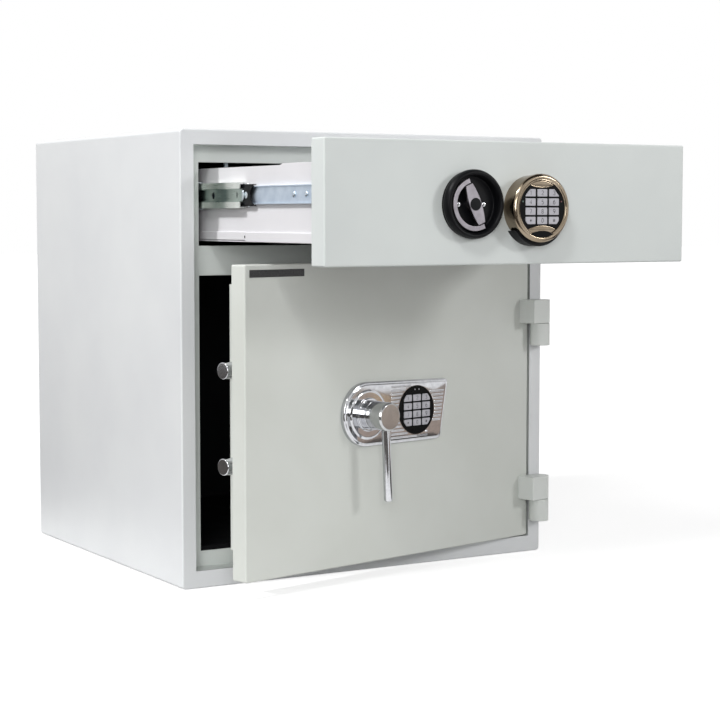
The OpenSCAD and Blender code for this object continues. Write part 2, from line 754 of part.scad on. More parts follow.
// Half ring that lies folded beside the bar and swings out to be gripped
module bow_grip() color("#a9a6a9") on_handle() difference() {
    translate([0, 0, bow_front - bow_t]) linear_extrude(bow_t) difference() {
        circle(bow_r);
        circle(bow_in_r);
        translate([bow_over, -bow_r - cut]) square([bow_r + cut, 2 * (bow_r + cut)]);
    }
    translate([0, 0, bow_mid]) rotate([90, 0, 0])
        cylinder(r = bow_pivot_r + shaft_fit, h = 2 * (pivot_l + 0.3), center = true);
}

// Keypads

// Keypad outlines drawn in X and Z about the keypad's axis
module key_outline(i, up, gap) {
    col = i % 3 - 1;
    row = 1.5 - floor(i / 3);
    intersection() {
        translate([col * key_pitch_x, up + row * key_pitch_z])
            square([key_w + 2 * gap, key_h + 2 * gap], center = true);
        circle(key_trim_r + gap);
    }
}

// Field of the drawer keypad between the two lens shaped caps
module pad_field(gap) difference() {
    circle(pad_face_r - gap);
    for (side = [-1, 1]) translate([0, keys_up + side * cap_centre]) circle(cap_curve_r + gap, $fn = 180);
}

module window_outline() translate([0, window_z]) intersection_for(side = [-1, 1])
    translate([0, side * (window_curve_r - window_half_h)]) circle(window_curve_r, $fn = 120);

// One key of a keypad whose face stands out by face_out
module key(i, face_out, up)
    slab(-face_out - key_proud, -face_out - key_proud + key_t) key_outline(i, up, 0);

// The twelve pockets that the keys travel in
module key_pockets(face_out, up) for (i = [0:11])
    slab(-face_out - cut, -face_out - key_proud + key_t + key_travel + 0.2) key_outline(i, up, key_gap);

// Die cast housing: bezel, can with a flat for the battery tray, and the tray's chamber
module keypad_housing() color("#a59c8c") at_drawer() translate([pad_x, 0, pad_z]) difference() {
    round_r = 3;
    union() {
        rod_y(0, 0, can_r, -can_d - 1, 0);
        translate([0, -can_d, 0]) rotate([90, 0, 0]) rotate_extrude() {
            square([bezel_r - round_r, bezel_d]);
            square([bezel_r, bezel_d - round_r]);
            translate([bezel_r - round_r, bezel_d - round_r]) circle(round_r);
        }
    }
    slab(-pad_out - cut, -pad_recess) pad_field(0);
    slab(-pad_out - cut, -pad_out + window_d) window_outline();
    span([-can_r - cut, can_r + cut], [-can_d, cut], [-can_r - cut, -tray_top]);
    span([-holder_x - tray_wall, holder_x + tray_wall], [-holder_front - tray_wall, -holder_back + tray_wall],
        [-tray_top - cut, holder_top + 1]);
}

// Black insert with the key pockets, and the lens shaped window below it
module drawer_keypad_face() color("#15171a") at_drawer() translate([pad_x, 0, pad_z]) {
    difference() {
        slab(-pad_face_out, -pad_recess) pad_field(face_fit);
        key_pockets(pad_face_out, keys_up);
    }
    slab(-pad_out - 0.2, -pad_out + window_d) window_outline();
}

// Battery tray that slides down out of the housing
module battery_tray() color("#1b1c1f") at_drawer() translate([pad_x, 0, pad_z]) {
    difference() {
        rod_y(0, -tray_drop, can_r, -can_d + tray_wall, -tray_wall);
        span([-2 * can_r, 2 * can_r], [-can_d, 0], [-tray_top - tray_wall, 2 * can_r]);
    }
    difference() {
        span([-holder_x, holder_x], [-holder_front, -holder_back], [-tray_top - 1, holder_top]);
        span([-holder_x + 2, holder_x - 2], [-holder_front + 2, 0], [-tray_top + 2, holder_top - 2]);
    }
}

module drawer_key(i) color("#b9bcc2") at_drawer() translate([pad_x, 0, pad_z]) key(i, pad_face_out, keys_up);

// Black disc on the escutcheon, with the key pockets
module door_keypad_face() color("#15171a") at_door() translate([door_pad_x, 0, hub_z]) difference() {
    rod_y(0, 0, door_face_r, -door_face_out, -door_face_back);
    key_pockets(door_face_out, 0);
}

module door_key(i) color("#b9bcc2") at_door() translate([door_pad_x, 0, hub_z]) key(i, door_face_out, 0);

// Door

// Folded front pan, open at the back
module door_shell() color("#c6cac7") at_door() difference() {
    span([-front_x, front_x], [0, door_t], [door_low, door_top]);
    span([-pan_x, pan_x], [door_sheet, door_t + cut], [door_low + door_sheet, door_top - door_sheet]);
    rod_y(hub_x, hub_z, spindle_clear_r, -cut, door_sheet + cut);
    rod_y(door_pad_x, hub_z, cable_r, -cut, door_sheet + cut);
}

module door_filling() color("#b9b4a8") at_door() difference() {
    x = pan_x - fill_gap;
    span([-x, x], [door_sheet + fill_gap, plate_back - fill_gap],
        [door_low + door_sheet + fill_gap, door_top - door_sheet - fill_gap]);
    rod_y(hub_x, hub_z, spindle_clear_r + 2, 0, door_t);
    rod_y(door_pad_x, hub_z, cable_r + 2, 0, door_t);
}

// Back plate that closes the pan, with the raised box round the bolt work
module door_inner_box() color("#cfd2d0") at_door() difference() {
    union() {
        span([-pan_x, pan_x], [plate_back, door_t], [door_low + door_sheet, door_top - door_sheet]);
        span([-inner_x, inner_x], [plate_back, inner_back], [inner_low, inner_top]);
    }
    span([-inner_x + inner_sheet, inner_x - inner_sheet], [door_t, inner_back - inner_sheet],
        [inner_low + inner_sheet, inner_top - inner_sheet]);
    for (z = [bolt_low_z, bolt_high_z]) rod_x(bolt_y, z, bolt_r + bolt_fit, -inner_x - cut, -inner_x + inner_sheet + cut);
    rod_y(hub_x, hub_z, spindle_clear_r, plate_back - cut, door_t + cut);
    rod_y(door_pad_x, hub_z, cable_r, plate_back - cut, door_t + cut);
}

// Outline of the escutcheon about the handle's axis: round on the left, slanted on the right
module plate_outline() {
    r = plate_corner_r;
    high = [plate_reach - r, plate_r - plate_fall - r];
    low = [plate_reach - plate_slant - r, -plate_r + r];
    along = (high - low) / norm(high - low);
    out = [along[1], -along[0]] * r;
    circle(plate_r);
    for (c = [high, low]) translate(c) circle(r);
    rise = asin(plate_fall / high[0]);
    top = [sin(rise), cos(rise)];
    polygon([[0, -plate_r], [low[0], -plate_r], low + out, high + out, high + r * top, plate_r * top]);
}

// Cast plate with the fixed collar that the hub turns on
module escutcheon() color("#c9cbce") at_door() translate([hub_x, 0, hub_z]) difference() {
    union() {
        slab(-plate_t, 0) plate_outline();
        rod_y(0, 0, collar_ring_r, -plate_t - collar_ring_h, 0);
        rod_y(0, 0, collar_r, -collar_out, 0);
    }
    rod_y(0, 0, spindle_r + shaft_fit, -collar_out - cut, cut);
    rod_y(door_pad_off, 0, door_face_r + face_fit, -plate_t - cut, -door_face_back);
    rod_y(door_pad_off, 0, cable_r, -plate_t - cut, cut);
}

// Turning hub with a blind bore for the spindle and a socket for the lever
module handle_hub() color("#cfd1d4") at_door() translate([hub_x, 0, hub_z]) difference() {
    edge = 1.5;
    translate([0, -collar_out - hub_gap, 0]) rotate([90, 0, 0]) {
        length = hub_out - collar_out - hub_gap;
        rotate_extrude() polygon([[0, 0], [hub_r, 0], [hub_r, length - edge], [hub_r - edge, length], [0, length]]);
    }
    rod_y(0, 0, spindle_r, -spindle_out, 0);
    rotate([0, -lever_lean, 0]) translate([0, -lever_out, -lever_seat - lever_len])
        cylinder(r = lever_r, h = lever_len);
}

// Straight round lever with a chamfered end
module lever() color("#cfd1d4") at_door() translate([hub_x, -lever_out, hub_z]) rotate([0, 180 - lever_lean, 0]) {
    length = lever_len - lever_seat;
    edge = 1.2;
    translate([0, 0, lever_seat]) rotate_extrude() polygon([[0, 0], [lever_r, 0], [lever_r, length - edge], [lever_r - edge, length], [0, length]]);
}

// Spindle through the door with a cam disc and the pin that drives the bolt bar
module spindle() color("#9a9ea3") at_door() translate([hub_x, 0, hub_z]) {
    rod_y(0, 0, spindle_r, -spindle_out, disc_y + disc_t);
    rod_y(0, 0, cam_r + door_cam_pin_r + 2, disc_y, disc_y + disc_t);
    rod_y(-cam_r * sin(lever_turn / 2), cam_r * cos(lever_turn / 2), door_cam_pin_r,
        disc_y, bolt_y + arm_half_t + 1);
}

// Upright bar behind the bolts, with an arm whose slot takes the cam's pin
module bolt_bar() color("#b8c0c6") at_door() difference() {
    pin_x = hub_x - cam_r * sin(lever_turn / 2);
    slot_w = door_cam_pin_r + cam_fit;
    union() {
        span([bolt_rear, bolt_rear + bar_w], [bolt_y - bar_depth, bolt_y + bar_depth],
            [bolt_low_z - bar_reach, bolt_high_z + bar_reach]);
        span([bolt_rear, arm_end], [bolt_y - arm_half_t, bolt_y + arm_half_t], [arm_low, arm_top]);
    }
    span([pin_x - slot_w, pin_x + slot_w], [bolt_y - arm_half_t - cut, bolt_y + arm_half_t + cut],
        [hub_z + cam_r * cos(lever_turn / 2) - slot_w, hub_z + cam_r + slot_w]);
}

module locking_bolts() color("#d4d6d8") at_door()
    for (z = [bolt_low_z, bolt_high_z]) translate([bolt_rear, bolt_y, z]) rotate([0, -90, 0]) {
        length = bolt_rear - bolt_end;
        edge = 1;
        rotate_extrude() polygon([[0, 0], [bolt_r, 0], [bolt_r, length - edge], [bolt_r - edge, length], [0, length]]);
    }

// Lock on the door's back plate, with a chamber for its bolt
module door_lock_case() color("#c2b48e") at_door() difference() {
    span([lock_left, lock_right], [door_t, lock_back], [lock_low, lock_top]);
    span([lock_left - cut, lock_right - 4], [bolt_y - lock_half_t - 0.3, bolt_y + lock_half_t + 0.3],
        [arm_low - 0.3, arm_top + 0.3]);
}

// Spring bolt that the bolt bar's arm pushes back into the lock
module door_lock_bolt() color("#c8b06a") at_door()
    span([arm_end + lock_gap, arm_end + lock_gap + lock_bolt_l], [bolt_y - lock_half_t, bolt_y + lock_half_t],
        [arm_low, arm_top]);

outer_casing();
back_panel();
fire_filling();
front_frame();
safe_liner();
drawer_liner();
hinge_barrels();
hinge_pins();
slide_outer_members();
drawer_keeper();
slide_middle_members();
slide_ball_cages();
slide_inner_members();
drawer_front();
drawer_box();
drawer_lock_case();
handle_cup();
keypad_housing();
drawer_keypad_face();
battery_tray();
bow_bar();
bow_grip();
drawer_bolt();
door_shell();
door_filling();
door_inner_box();
door_hinge_blocks();
escutcheon();
door_keypad_face();
door_lock_case();
door_lock_bolt();
handle_hub();
lever();
spindle();
bolt_bar();
locking_bolts();
for (i = [0:11]) drawer_key(i);
for (i = [0:11]) door_key(i);
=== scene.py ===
"""Looks of the furniture safe: pieces in the order in which the real one is put together.

Sizes are in millimetres, with the cabinet's face at y = 0, until a place function turns them into the
row's metres.
"""

import math

import bpy
import numpy as np
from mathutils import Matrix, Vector


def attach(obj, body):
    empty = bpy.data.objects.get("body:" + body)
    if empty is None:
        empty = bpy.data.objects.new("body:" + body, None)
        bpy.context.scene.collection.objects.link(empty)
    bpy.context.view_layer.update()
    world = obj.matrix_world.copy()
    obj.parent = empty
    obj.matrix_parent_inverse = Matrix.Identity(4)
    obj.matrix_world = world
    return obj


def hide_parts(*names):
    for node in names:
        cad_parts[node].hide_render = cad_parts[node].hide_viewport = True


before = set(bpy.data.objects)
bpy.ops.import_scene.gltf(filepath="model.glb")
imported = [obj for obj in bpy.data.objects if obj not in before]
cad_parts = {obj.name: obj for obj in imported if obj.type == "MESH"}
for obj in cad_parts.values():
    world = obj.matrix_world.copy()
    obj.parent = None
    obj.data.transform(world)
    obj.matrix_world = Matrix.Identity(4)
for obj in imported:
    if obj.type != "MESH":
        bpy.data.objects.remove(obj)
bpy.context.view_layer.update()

# OUTER CASING
# One sheet of 3 mm steel folded round the sides, top and bottom, with a return that makes the
# front face. Its seams are ground flush and it is powder coated. The underside has the anchor's hole.


def linear(code):
    """sRGB hex to linear colour: c / 12.92 below 0.04045, else ((c + 0.055) / 1.055) ^ 2.4."""
    c = np.array([int(code[i : i + 2], 16) for i in (0, 2, 4)]) / 255
    return (*np.where(c <= 0.04045, c / 12.92, ((c + 0.055) / 1.055) ** 2.4).tolist(), 1.0)


def add(mat, kind, links=(), **settings):
    """Adds one shader node. links gives its inputs, by name, a value or another node's output."""
    made = mat.node_tree.nodes.new("ShaderNode" + kind)
    for key, value in settings.items():
        setattr(made, key, value)
    for key, value in dict(links).items():
        if isinstance(value, bpy.types.NodeSocket):
            mat.node_tree.links.new(value, made.inputs[key])
        else:
            made.inputs[key].default_value = value
    return made


def finish(name, dark, light, patterns, rough, depth=0.0, spread=(0.3, 0.7), **shader):
    """A finish of noise patterns, each (blotch in mm, detail, stretch along x, y and z). The first, read over
    spread, blends two hex colours. The second, read from 0.3 to 0.7, sets the roughness between two values.
    A third is a relief of depth millimetres. In a shader value's name an underscore is a space."""
    mat = bpy.data.materials.new(name)
    mat.use_nodes = True
    mat.node_tree.nodes.clear()
    where = add(mat, "TexCoord").outputs["Object"]
    noise = {}
    for pattern in dict.fromkeys(patterns):
        blotch, detail, *stretch = pattern
        placed = add(mat, "Mapping", {"Vector": where, "Scale": [1 / s for s in stretch]}).outputs["Vector"]
        links = {"Vector": placed, "Scale": 1000 / blotch, "Detail": detail}
        noise[pattern] = add(mat, "TexNoise", links).outputs["Fac"]
    tone, sheen, *relief = (noise[pattern] for pattern in patterns)
    links = {"Value": tone, "From Min": spread[0], "From Max": spread[1]}
    tone = add(mat, "MapRange", links).outputs["Result"]
    links = {"Value": sheen, "From Min": 0.3, "From Max": 0.7, "To Min": rough[0], "To Max": rough[1]}
    sheen = add(mat, "MapRange", links).outputs["Result"]
    colour = add(mat, "Mix", {"Factor": tone, 6: linear(dark), 7: linear(light)}, data_type="RGBA").outputs[2]
    links = {"Base Color": colour, "Roughness": sheen}
    links |= {key.replace("_", " "): value for key, value in shader.items()}
    if relief:
        links["Normal"] = add(mat, "Bump", {"Height": relief[0], "Distance": depth / 1000}).outputs["Normal"]
    add(mat, "OutputMaterial", {"Surface": add(mat, "BsdfPrincipled", links).outputs["BSDF"]})
    return mat


def powder_coat(name, dark, light, rough=0.42, shine=0.5):
    """Baked powder: a fine orange peel breaks up the highlights and the tone drifts a little over a panel."""
    patterns = [(140, 3, 1, 1, 1), (25, 3, 1, 1, 1), (1.3, 2, 1, 1, 1)]
    return finish(name, dark, light, patterns, (rough - 0.03, rough + 0.04), 0.03, Specular_IOR_Level=shine)


HALF_WIDTH, DEPTH, HEIGHT = 288, 505, 600
# The sheet's thickness, and the radii of the fold round the face and of the anchor hole.
SHEET, FOLD, ANCHOR = 3, 2.2, 7


def cabinet(v):
    """Cabinet millimetres to the row's metres, whose y = 0 is at half the cabinet's depth."""
    return (np.asarray(v, float) - (0, DEPTH / 2, 0)) / 1000


def skin(rows, ring=False):
    """Closed shell over rows[i, j]: j runs round, i along, with flat ends or joined into a ring.
    The sign of its volume, the sum of a . (b x c) over its triangles, turns the faces outwards."""
    n, k = rows.shape[:2]
    i, j = np.meshgrid(np.arange(n if ring else n - 1), np.arange(k), indexing="ij")
    i2, j2 = (i + 1) % n, (j + 1) % k
    faces = np.stack([i * k + j, i2 * k + j, i2 * k + j2, i * k + j2], -1).reshape(-1, 4)
    verts = rows.reshape(-1, 3)
    a, b, c, d = (verts[faces[:, m]] for m in range(4))
    volume = np.sum(a * np.cross(b, c)) + np.sum(a * np.cross(c, d))
    faces = faces.tolist()
    if not ring:
        for end in (np.arange(k), np.arange((n - 1) * k, n * k)[::-1]):
            fan = verts[end]
            volume += np.sum(fan[0] * np.cross(fan[1:-1], fan[2:]))
            faces.append(end.tolist())
    return verts, [f[::-1] for f in faces] if volume < 0 else faces


def piece(name, shells, mat, body, slot, place, *nodes):
    """One mesh object from closed shells, riding on a body and standing for the CAD nodes that it names."""
    verts, faces, offset = [], [], 0
    for v, f in shells:
        verts.append(np.asarray(v, float))
        faces += [[i + offset for i in face] for face in f]
        offset += len(v)
    mesh = bpy.data.meshes.new(name)
    mesh.from_pydata(place(np.concatenate(verts)), [], faces)
    mesh.materials.append(mat)
    mesh.shade_smooth()
    mesh.set_sharp_from_angle(angle=math.radians(38))
    made = bpy.data.objects.new(name, mesh)
    bpy.context.collection.objects.link(made)
    made.modifiers.new("even normals", "WEIGHTED_NORMAL").keep_sharp = True
    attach(made, body)
    if nodes:
        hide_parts(*nodes)


def frame_rows(stations, n=5):
    """Rounded rectangles (half width, low, high, radius, y) as rows: corner centre + r (cos w, y, sin w)."""
    w = (np.linspace(0, np.pi / 2, n + 1) + np.arange(4)[:, None] * np.pi / 2).ravel()
    side, top = np.repeat([1, -1, -1, 1], n + 1), np.repeat([1, 1, 0, 0], n + 1)
    half, low, high, r, y = (np.array(stations, float)[:, m, None] for m in range(5))
    x = side * (half - r) + r * np.cos(w)
    z = np.where(top, high - r, low + r) + r * np.sin(w)
    return np.stack([x, np.broadcast_to(y, x.shape), z], -1)


# The section goes round the front fold, over the face to the opening, back inside the sheet and out again.
turn = np.linspace(0, np.pi / 2, 5)
drop = FOLD - FOLD * np.cos(turn)
stations = [(HALF_WIDTH - d, d, HEIGHT - d, 5 - d / 2, y) for d, y in zip(drop, FOLD - FOLD * np.sin(turn))]
stations += [(268.8, 22.2, 580.8, 1.3, 0), (268.2, 22.8, 580.2, 1.0, 0.2), (268, 23, 580, 0.8, 0.8)]
stations += [(268, 23, 580, 0.8, 2.5), (HALF_WIDTH - SHEET, SHEET, HEIGHT - SHEET, 2, 2.5)]
stations += [(HALF_WIDTH - SHEET, SHEET, HEIGHT - SHEET, 2, DEPTH), (HALF_WIDTH, 0, HEIGHT, 5, DEPTH)]
verts, faces = skin(frame_rows(stations), ring=True)
# The bottom sheet's two flat quads, outside and inside, each become two faces round the anchor hole.
hole = np.linspace(0, 2 * np.pi, 48, endpoint=False)
for z in (0, SHEET):
    flat = next(f for f in faces if all(abs(verts[m][2] - z) < 1e-6 and abs(verts[m][0]) > 282 for m in f)
                and np.ptp([verts[m][1] for m in f]) > 400)
    faces.remove(flat)
    corner = sorted(flat, key=lambda m: math.atan2(verts[m][1] - DEPTH / 2, verts[m][0]))
    first = len(verts)
    rim = np.c_[ANCHOR * np.cos(hole), DEPTH / 2 + ANCHOR * np.sin(hole), np.full(48, z)]
    verts = np.concatenate([verts, rim])
    back, front = list(range(first, first + 25)), [*range(first + 24, first + 48), first]
    halves = [corner[:2] + back[:1] + front[-2:0:-1] + back[-1:], [*corner[1:], corner[0], *back[::-1]]]
    faces += [h if z else h[::-1] for h in halves]
low, high = len(verts) - 96 + np.arange(48), len(verts) - 48 + np.arange(48)
faces += np.stack([low, high, np.roll(high, -1), np.roll(low, -1)], -1).tolist()

cabinet_paint = powder_coat("cabinet_powder_coat", "dadcde", "e0e2e3")
piece("casing_sheet", [(verts, faces)], cabinet_paint, "cabinet", "cabinet_paint", cabinet, "outer_casing")

# FRONT FRAME
# Folded recess walls with a ledge all round, and a crossbar between the drawer and the door.
# Behind the ledge of the door opening runs the channel that the locking bolts catch in.


def block(lo, hi, r=0.8, n=3):
    """Box with round edges: p = mid + s (half - r) + r d, with d over a sphere's cube map and s its signs."""
    lo, hi = np.array(lo, float), np.array(hi, float)
    mid, half = (lo + hi) / 2, (hi - lo) / 2 - r
    t = np.tan(np.linspace(0, np.pi / 4, n + 1))
    t, s = np.concatenate([-t[::-1], t]), np.repeat([-1.0, 1.0], n + 1)
    a, b = np.meshgrid(np.arange(2 * n + 2), np.arange(2 * n + 2), indexing="ij")
    verts, faces = [], []
    for axis in range(3):
        for side in (-1, 1):
            d, sign = np.empty((*a.shape, 3)), np.empty((*a.shape, 3))
            d[..., axis] = sign[..., axis] = side
            for other, grid in ((axis + 1) % 3, a), ((axis + 2) % 3, b):
                d[..., other], sign[..., other] = t[grid], s[grid]
            p = mid + sign * half + r * d / np.linalg.norm(d, axis=-1, keepdims=True)
            q = len(verts) * a.size + np.arange(a.size).reshape(a.shape)
            q = np.stack([q[:-1, :-1], q[1:, :-1], q[1:, 1:], q[:-1, 1:]], -1).reshape(-1, 4)
            verts.append(p.reshape(-1, 3))
            faces.append(q if side > 0 else q[:, ::-1])
    verts, faces = np.concatenate(verts), np.concatenate(faces)
    _, keep, back = np.unique(np.round(verts, 4), axis=0, return_index=True, return_inverse=True)
    return verts[keep], back.reshape(-1)[faces].tolist()


# The frame's coat is a little darker and greener than the casing's: painted shade over the recessed frame.
front_paint = powder_coat("front_powder_coat", "d3d8d5", "d9deda")
# The recess walls at the sides, the top and the bottom.
shells = [block((side * 269.25 - 1.25, 0.9, 20.5), (side * 269.25 + 1.25, 63.9, 582.5)) for side in (-1, 1)]
shells += [block((-270, 0.9, 580), (270, 33.9, 582.5)), block((-270, 0.9, 20.5), (270, 63.9, 23))]
# The ledge, the crossbar and the shelf behind it.
shells += [block((side * 257.5 - 11.5, 31.4, 22), (side * 257.5 + 11.5, 33.9, 581)) for side in (-1, 1)]
shells += [block((-247, 31.4, z[0]), (247, 33.9, z[1])) for z in ((558, 581), (22, 43.2), (409.5, 448.7))]
shells += [block((-269, 33, 429.1), (269, 63.9, 431.6))]
piece("front_frame_sheet", shells, front_paint, "cabinet", "front_paint", cabinet, "front_frame")

# BACK PANEL, LININGS AND FILLING
# The back is let into the casing. The linings are coloured near black as painted shade, because both
# compartments are dark inside. The poured mineral filling between the skins can't be seen.


def wears(mat, *names):
    """Gives carried-over CAD nodes a procedural material."""
    for name in names:
        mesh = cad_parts[name].data
        mesh.materials.clear()
        mesh.materials.append(mat)


wears(cabinet_paint, "back_panel")
# Near black linings: painted shade for the dark inside of both compartments.
liner_shade_coat = powder_coat("liner_painted_shade_coat", "121315", "18191b", 0.6, 0.2)
wears(liner_shade_coat, "safe_liner", "drawer_liner")
# Poured mineral filling: pale crumbs in a rough dull face.
crumbs = [(2.5, 6, 1, 1, 1)] * 3
filling = finish("mineral_filling", "9c968a", "c9c4b8", crumbs, (0.85, 0.98), 0.6)
wears(filling, "fire_filling", "door_filling")

# HINGES
# Two turned barrels on feet are welded to the frame, and a block on the door turns on the steel pin
# of each. Barrels and blocks are coated with the cabinet, so their edges carry a soft round of paint.


def round_ends(a, b, edge, n=4):
    """Insets and heights from a to b whose ends follow a quarter circle of radius edge."""
    w = np.linspace(0, np.pi / 2, n)
    inset = edge * (1 - np.sin(w))
    rise = edge * (1 - np.cos(w))
    return np.r_[inset, inset[::-1]], np.r_[a + rise, b - rise[::-1]]


def along(u, v, h, axis):
    """Puts the plane coordinates u, v and the height h on the three axes: h lies on the named one."""
    return np.stack({"x": (h, u, v), "y": (u, h, v), "z": (u, v, h)}[axis], -1)


def plate(outline, a, b, edge, axis="y"):
    """Outline made solid from a to b along an axis, its rims drawn in along its normals by round_ends()."""
    p = np.asarray(outline, float)
    t = np.roll(p, -1, 0) - np.roll(p, 1, 0)
    out = np.c_[t[:, 1], -t[:, 0]] / np.linalg.norm(t, axis=1, keepdims=True)
    out *= np.sign(np.sum(p[:, 0] * np.roll(p[:, 1], -1) - np.roll(p[:, 0], -1) * p[:, 1]))
    inset, level = round_ends(a, b, edge)
    flat = p - inset[:, None, None] * out
    return skin(along(flat[..., 0], flat[..., 1], np.broadcast_to(level[:, None], flat.shape[:2]), axis))


def lathe(profile, centre, axis="y", n=64, ring=False):
    """Turns a profile (r, h): centre + r (cos w, sin w) in the plane across the axis, and h along it."""
    r, h = np.array(profile, float).T[:, :, None]
    w = np.linspace(0, 2 * np.pi, n, endpoint=False)
    u, v = centre[0] + r * np.cos(w), centre[1] + r * np.sin(w)
    return skin(along(u, v, np.broadcast_to(h, u.shape), axis), ring)


def fillet(points, radius, closed=False, n=5):
    """Rounds a corner b by (1-t)^2 a + 2 t (1-t) b + t^2 c, where a and c lie radius from b on its edges."""
    p = np.array(points, float)
    before, after = np.roll(p, 1, 0) - p, np.roll(p, -1, 0) - p
    reach = [np.linalg.norm(e, axis=1, keepdims=True) for e in (before, after)]
    asked = np.broadcast_to(np.reshape(radius, (-1, 1)), (len(p), 1))
    size = np.minimum(asked, 0.49 * np.minimum(*reach))
    a, c = p + before / reach[0] * size, p + after / reach[1] * size
    t = np.linspace(0, 1, n)[None, :, None]
    q = (1 - t) ** 2 * a[:, None] + 2 * t * (1 - t) * p[:, None] + t**2 * c[:, None]
    if closed:
        return q.reshape(-1, 2)
    return np.concatenate([p[:1], q[1:-1].reshape(-1, 2), p[-1:]])


# The hinge's axis, its barrels' radius and how far the door stands ajar.
HINGE, BARREL, AJAR = (276, -14.5), 14, math.radians(12.5)


def door(v):
    """Closed-door millimetres to metres: turned about the hinge's axis as far as the door stands ajar."""
    c, s = math.cos(AJAR), math.sin(AJAR)
    x, y, z = (np.asarray(v, float) - (*HINGE, 0)).T
    return cabinet(np.c_[x * c - y * s, x * s + y * c, z] + (*HINGE, 0))


hinge_paint = powder_coat("hinge_powder_coat", "d8dcd8", "dfe2df")
shells = []
for z in (47, 302):
    inset, level = round_ends(z, z + 32, 1.0)
    shells += [lathe(np.c_[BARREL - inset, level], HINGE, "z")]
    shells += [block((268.5, HINGE[1], z), (HALF_WIDTH, 0, z + 32), 0.6)]
piece("hinge_barrel_pair", shells, hinge_paint, "cabinet", "hinge_paint", cabinet, "hinge_barrels")
w = np.linspace(-np.pi / 2, np.pi / 2, 25)
nose = HINGE + BARREL * np.c_[np.cos(w), np.sin(w)]
outline = np.r_[nose, [(248.1, -0.5), (247.5, -1.1), (247.5, -27.9), (248.1, -28.5)]]
shells = []
for z in (79.6, 334.6):
    shells += [plate(outline, z, z + 33.5, 0.8, "z"), block((247.5, -0.8, z), (264.8, 0, z + 33.5), 0.2)]
piece("hinge_block_pair", shells, hinge_paint, "door", "hinge_paint", door, "door_hinge_blocks")
# Ground steel: fine marks along the pins dull their shine.
marks = [(0.5, 4, 1, 1, 12)] * 3
ground_steel = finish("ground_steel", "8a8d90", "a7aaad", marks, (0.28, 0.42), 0.01, (0, 1), Metallic=1.0)
wears(ground_steel, "hinge_pins", "spindle")

# DRAWER SLIDES
# Rolled steel members with a blue passivated zinc plate run on two rows of balls each side.
# The balls sit in a black moulded cage whose front end is hollowed out.
# The slide's height, its rows of balls above and below that, and how far the drawer is pulled out.
SLIDE_Z, BALL_ROW, PULLED = 514, 13.2, 334
STREAKS = (0.8, 4, 1, 40, 1)


def zinc_plate(name, dark, light, rough):
    """Passivated zinc plate: streaks from the rolling run along Y and the passivation clouds the tint."""
    patterns = [(18, 4, 1, 1, 1), STREAKS, STREAKS]
    return finish(name, dark, light, patterns, (rough - 0.05, rough + 0.08), 0.01, Metallic=1.0)


def moulded(name, dark, light, rough, grit=0.4, shine=0.5):
    """Moulded plastic: a spark-eroded grain dulls it, and shine sets how much light its skin throws back."""
    fine = (grit, 2, 1, 1, 1)
    patterns = [(12, 3, 1, 1, 1), fine, fine]
    return finish(name, dark, light, patterns, (rough - 0.05, rough + 0.05), 0.02, Specular_IOR_Level=shine)


def following(share):
    """A place function for what has followed the pulled drawer by a share of its way."""
    return lambda v: cabinet(np.asarray(v, float) - (0, share * PULLED, 0))


def mirrored(shells):
    """The shells and their mirror image in X, with the faces turned back outwards."""
    return shells + [(np.asarray(v) * (-1, 1, 1), [f[::-1] for f in faces]) for v, faces in shells]


zinc = zinc_plate("blue_zinc_plate", "b9c3c9", "d2d9dd", 0.3)
wears(zinc, "slide_outer_members")
wears(zinc_plate("pale_blue_zinc_plate", "bcc9d8", "d0dbe7", 0.42), "slide_inner_members")
# The web of the middle member lies 3 mm deeper than its two rails and is painted darker and greener,
# as painted shade in that recess, in bands along the rolling. It reaches 8.5 mm above and below the slide's
# middle.
bands = [(45, 1, 1, 1, 12), STREAKS, STREAKS]
rolled = finish("green_zinc_plate", "c4cdc7", "f0f3ee", bands, (0.25, 0.38), 0.01, (0.4, 0.6), Metallic=1.0)
nodes = rolled.node_tree.nodes
shader, rails = nodes["Principled BSDF"], nodes["Mix"]
height = add(rolled, "SeparateXYZ", {"Vector": nodes["Texture Coordinate"].outputs["Object"]}).outputs["Z"]
off = add(rolled, "Math", {0: height, 1: SLIDE_Z / 1000}, operation="SUBTRACT").outputs[0]
off = add(rolled, "Math", {0: off}, operation="ABSOLUTE").outputs[0]
# The mask is 1 on the web, where the painted shade of the recess goes.
web_shade = add(rolled, "MapRange", {"Value": off, "From Min": 0.0086, "From Max": 0.0084}).outputs["Result"]
banded = rails.inputs["Factor"].links[0].from_socket
web = add(rolled, "Mix", {"Factor": banded, 6: linear("83938f"), 7: linear("b3beb7")}, data_type="RGBA")
both = add(rolled, "Mix", {"Factor": web_shade, 6: rails.outputs[2], 7: web.outputs[2]}, data_type="RGBA")
rolled.node_tree.links.new(both.outputs[2], shader.inputs["Base Color"])
wears(rolled, "slide_middle_members")
# A tongue on the web's front end, 5 mm long: y = 37.9 - 5 sqrt(1 - (v / 7.2)^2), half bright as a cut edge.
v = np.linspace(-7.2, 7.2, 21)
tongue = np.c_[37.9 - 5 * np.sqrt(1 - (v / 7.2) ** 2), v]
outline = np.r_[[(38.6, -7.2)], tongue, [(38.6, 7.2)]] + (0, SLIDE_Z)
shells = [plate(outline, -240.4, -239.2, 0.3, "x")]
piece("web_tongue_pair", mirrored(shells), zinc, "slide_middles", "zinc_plate", following(0.356))
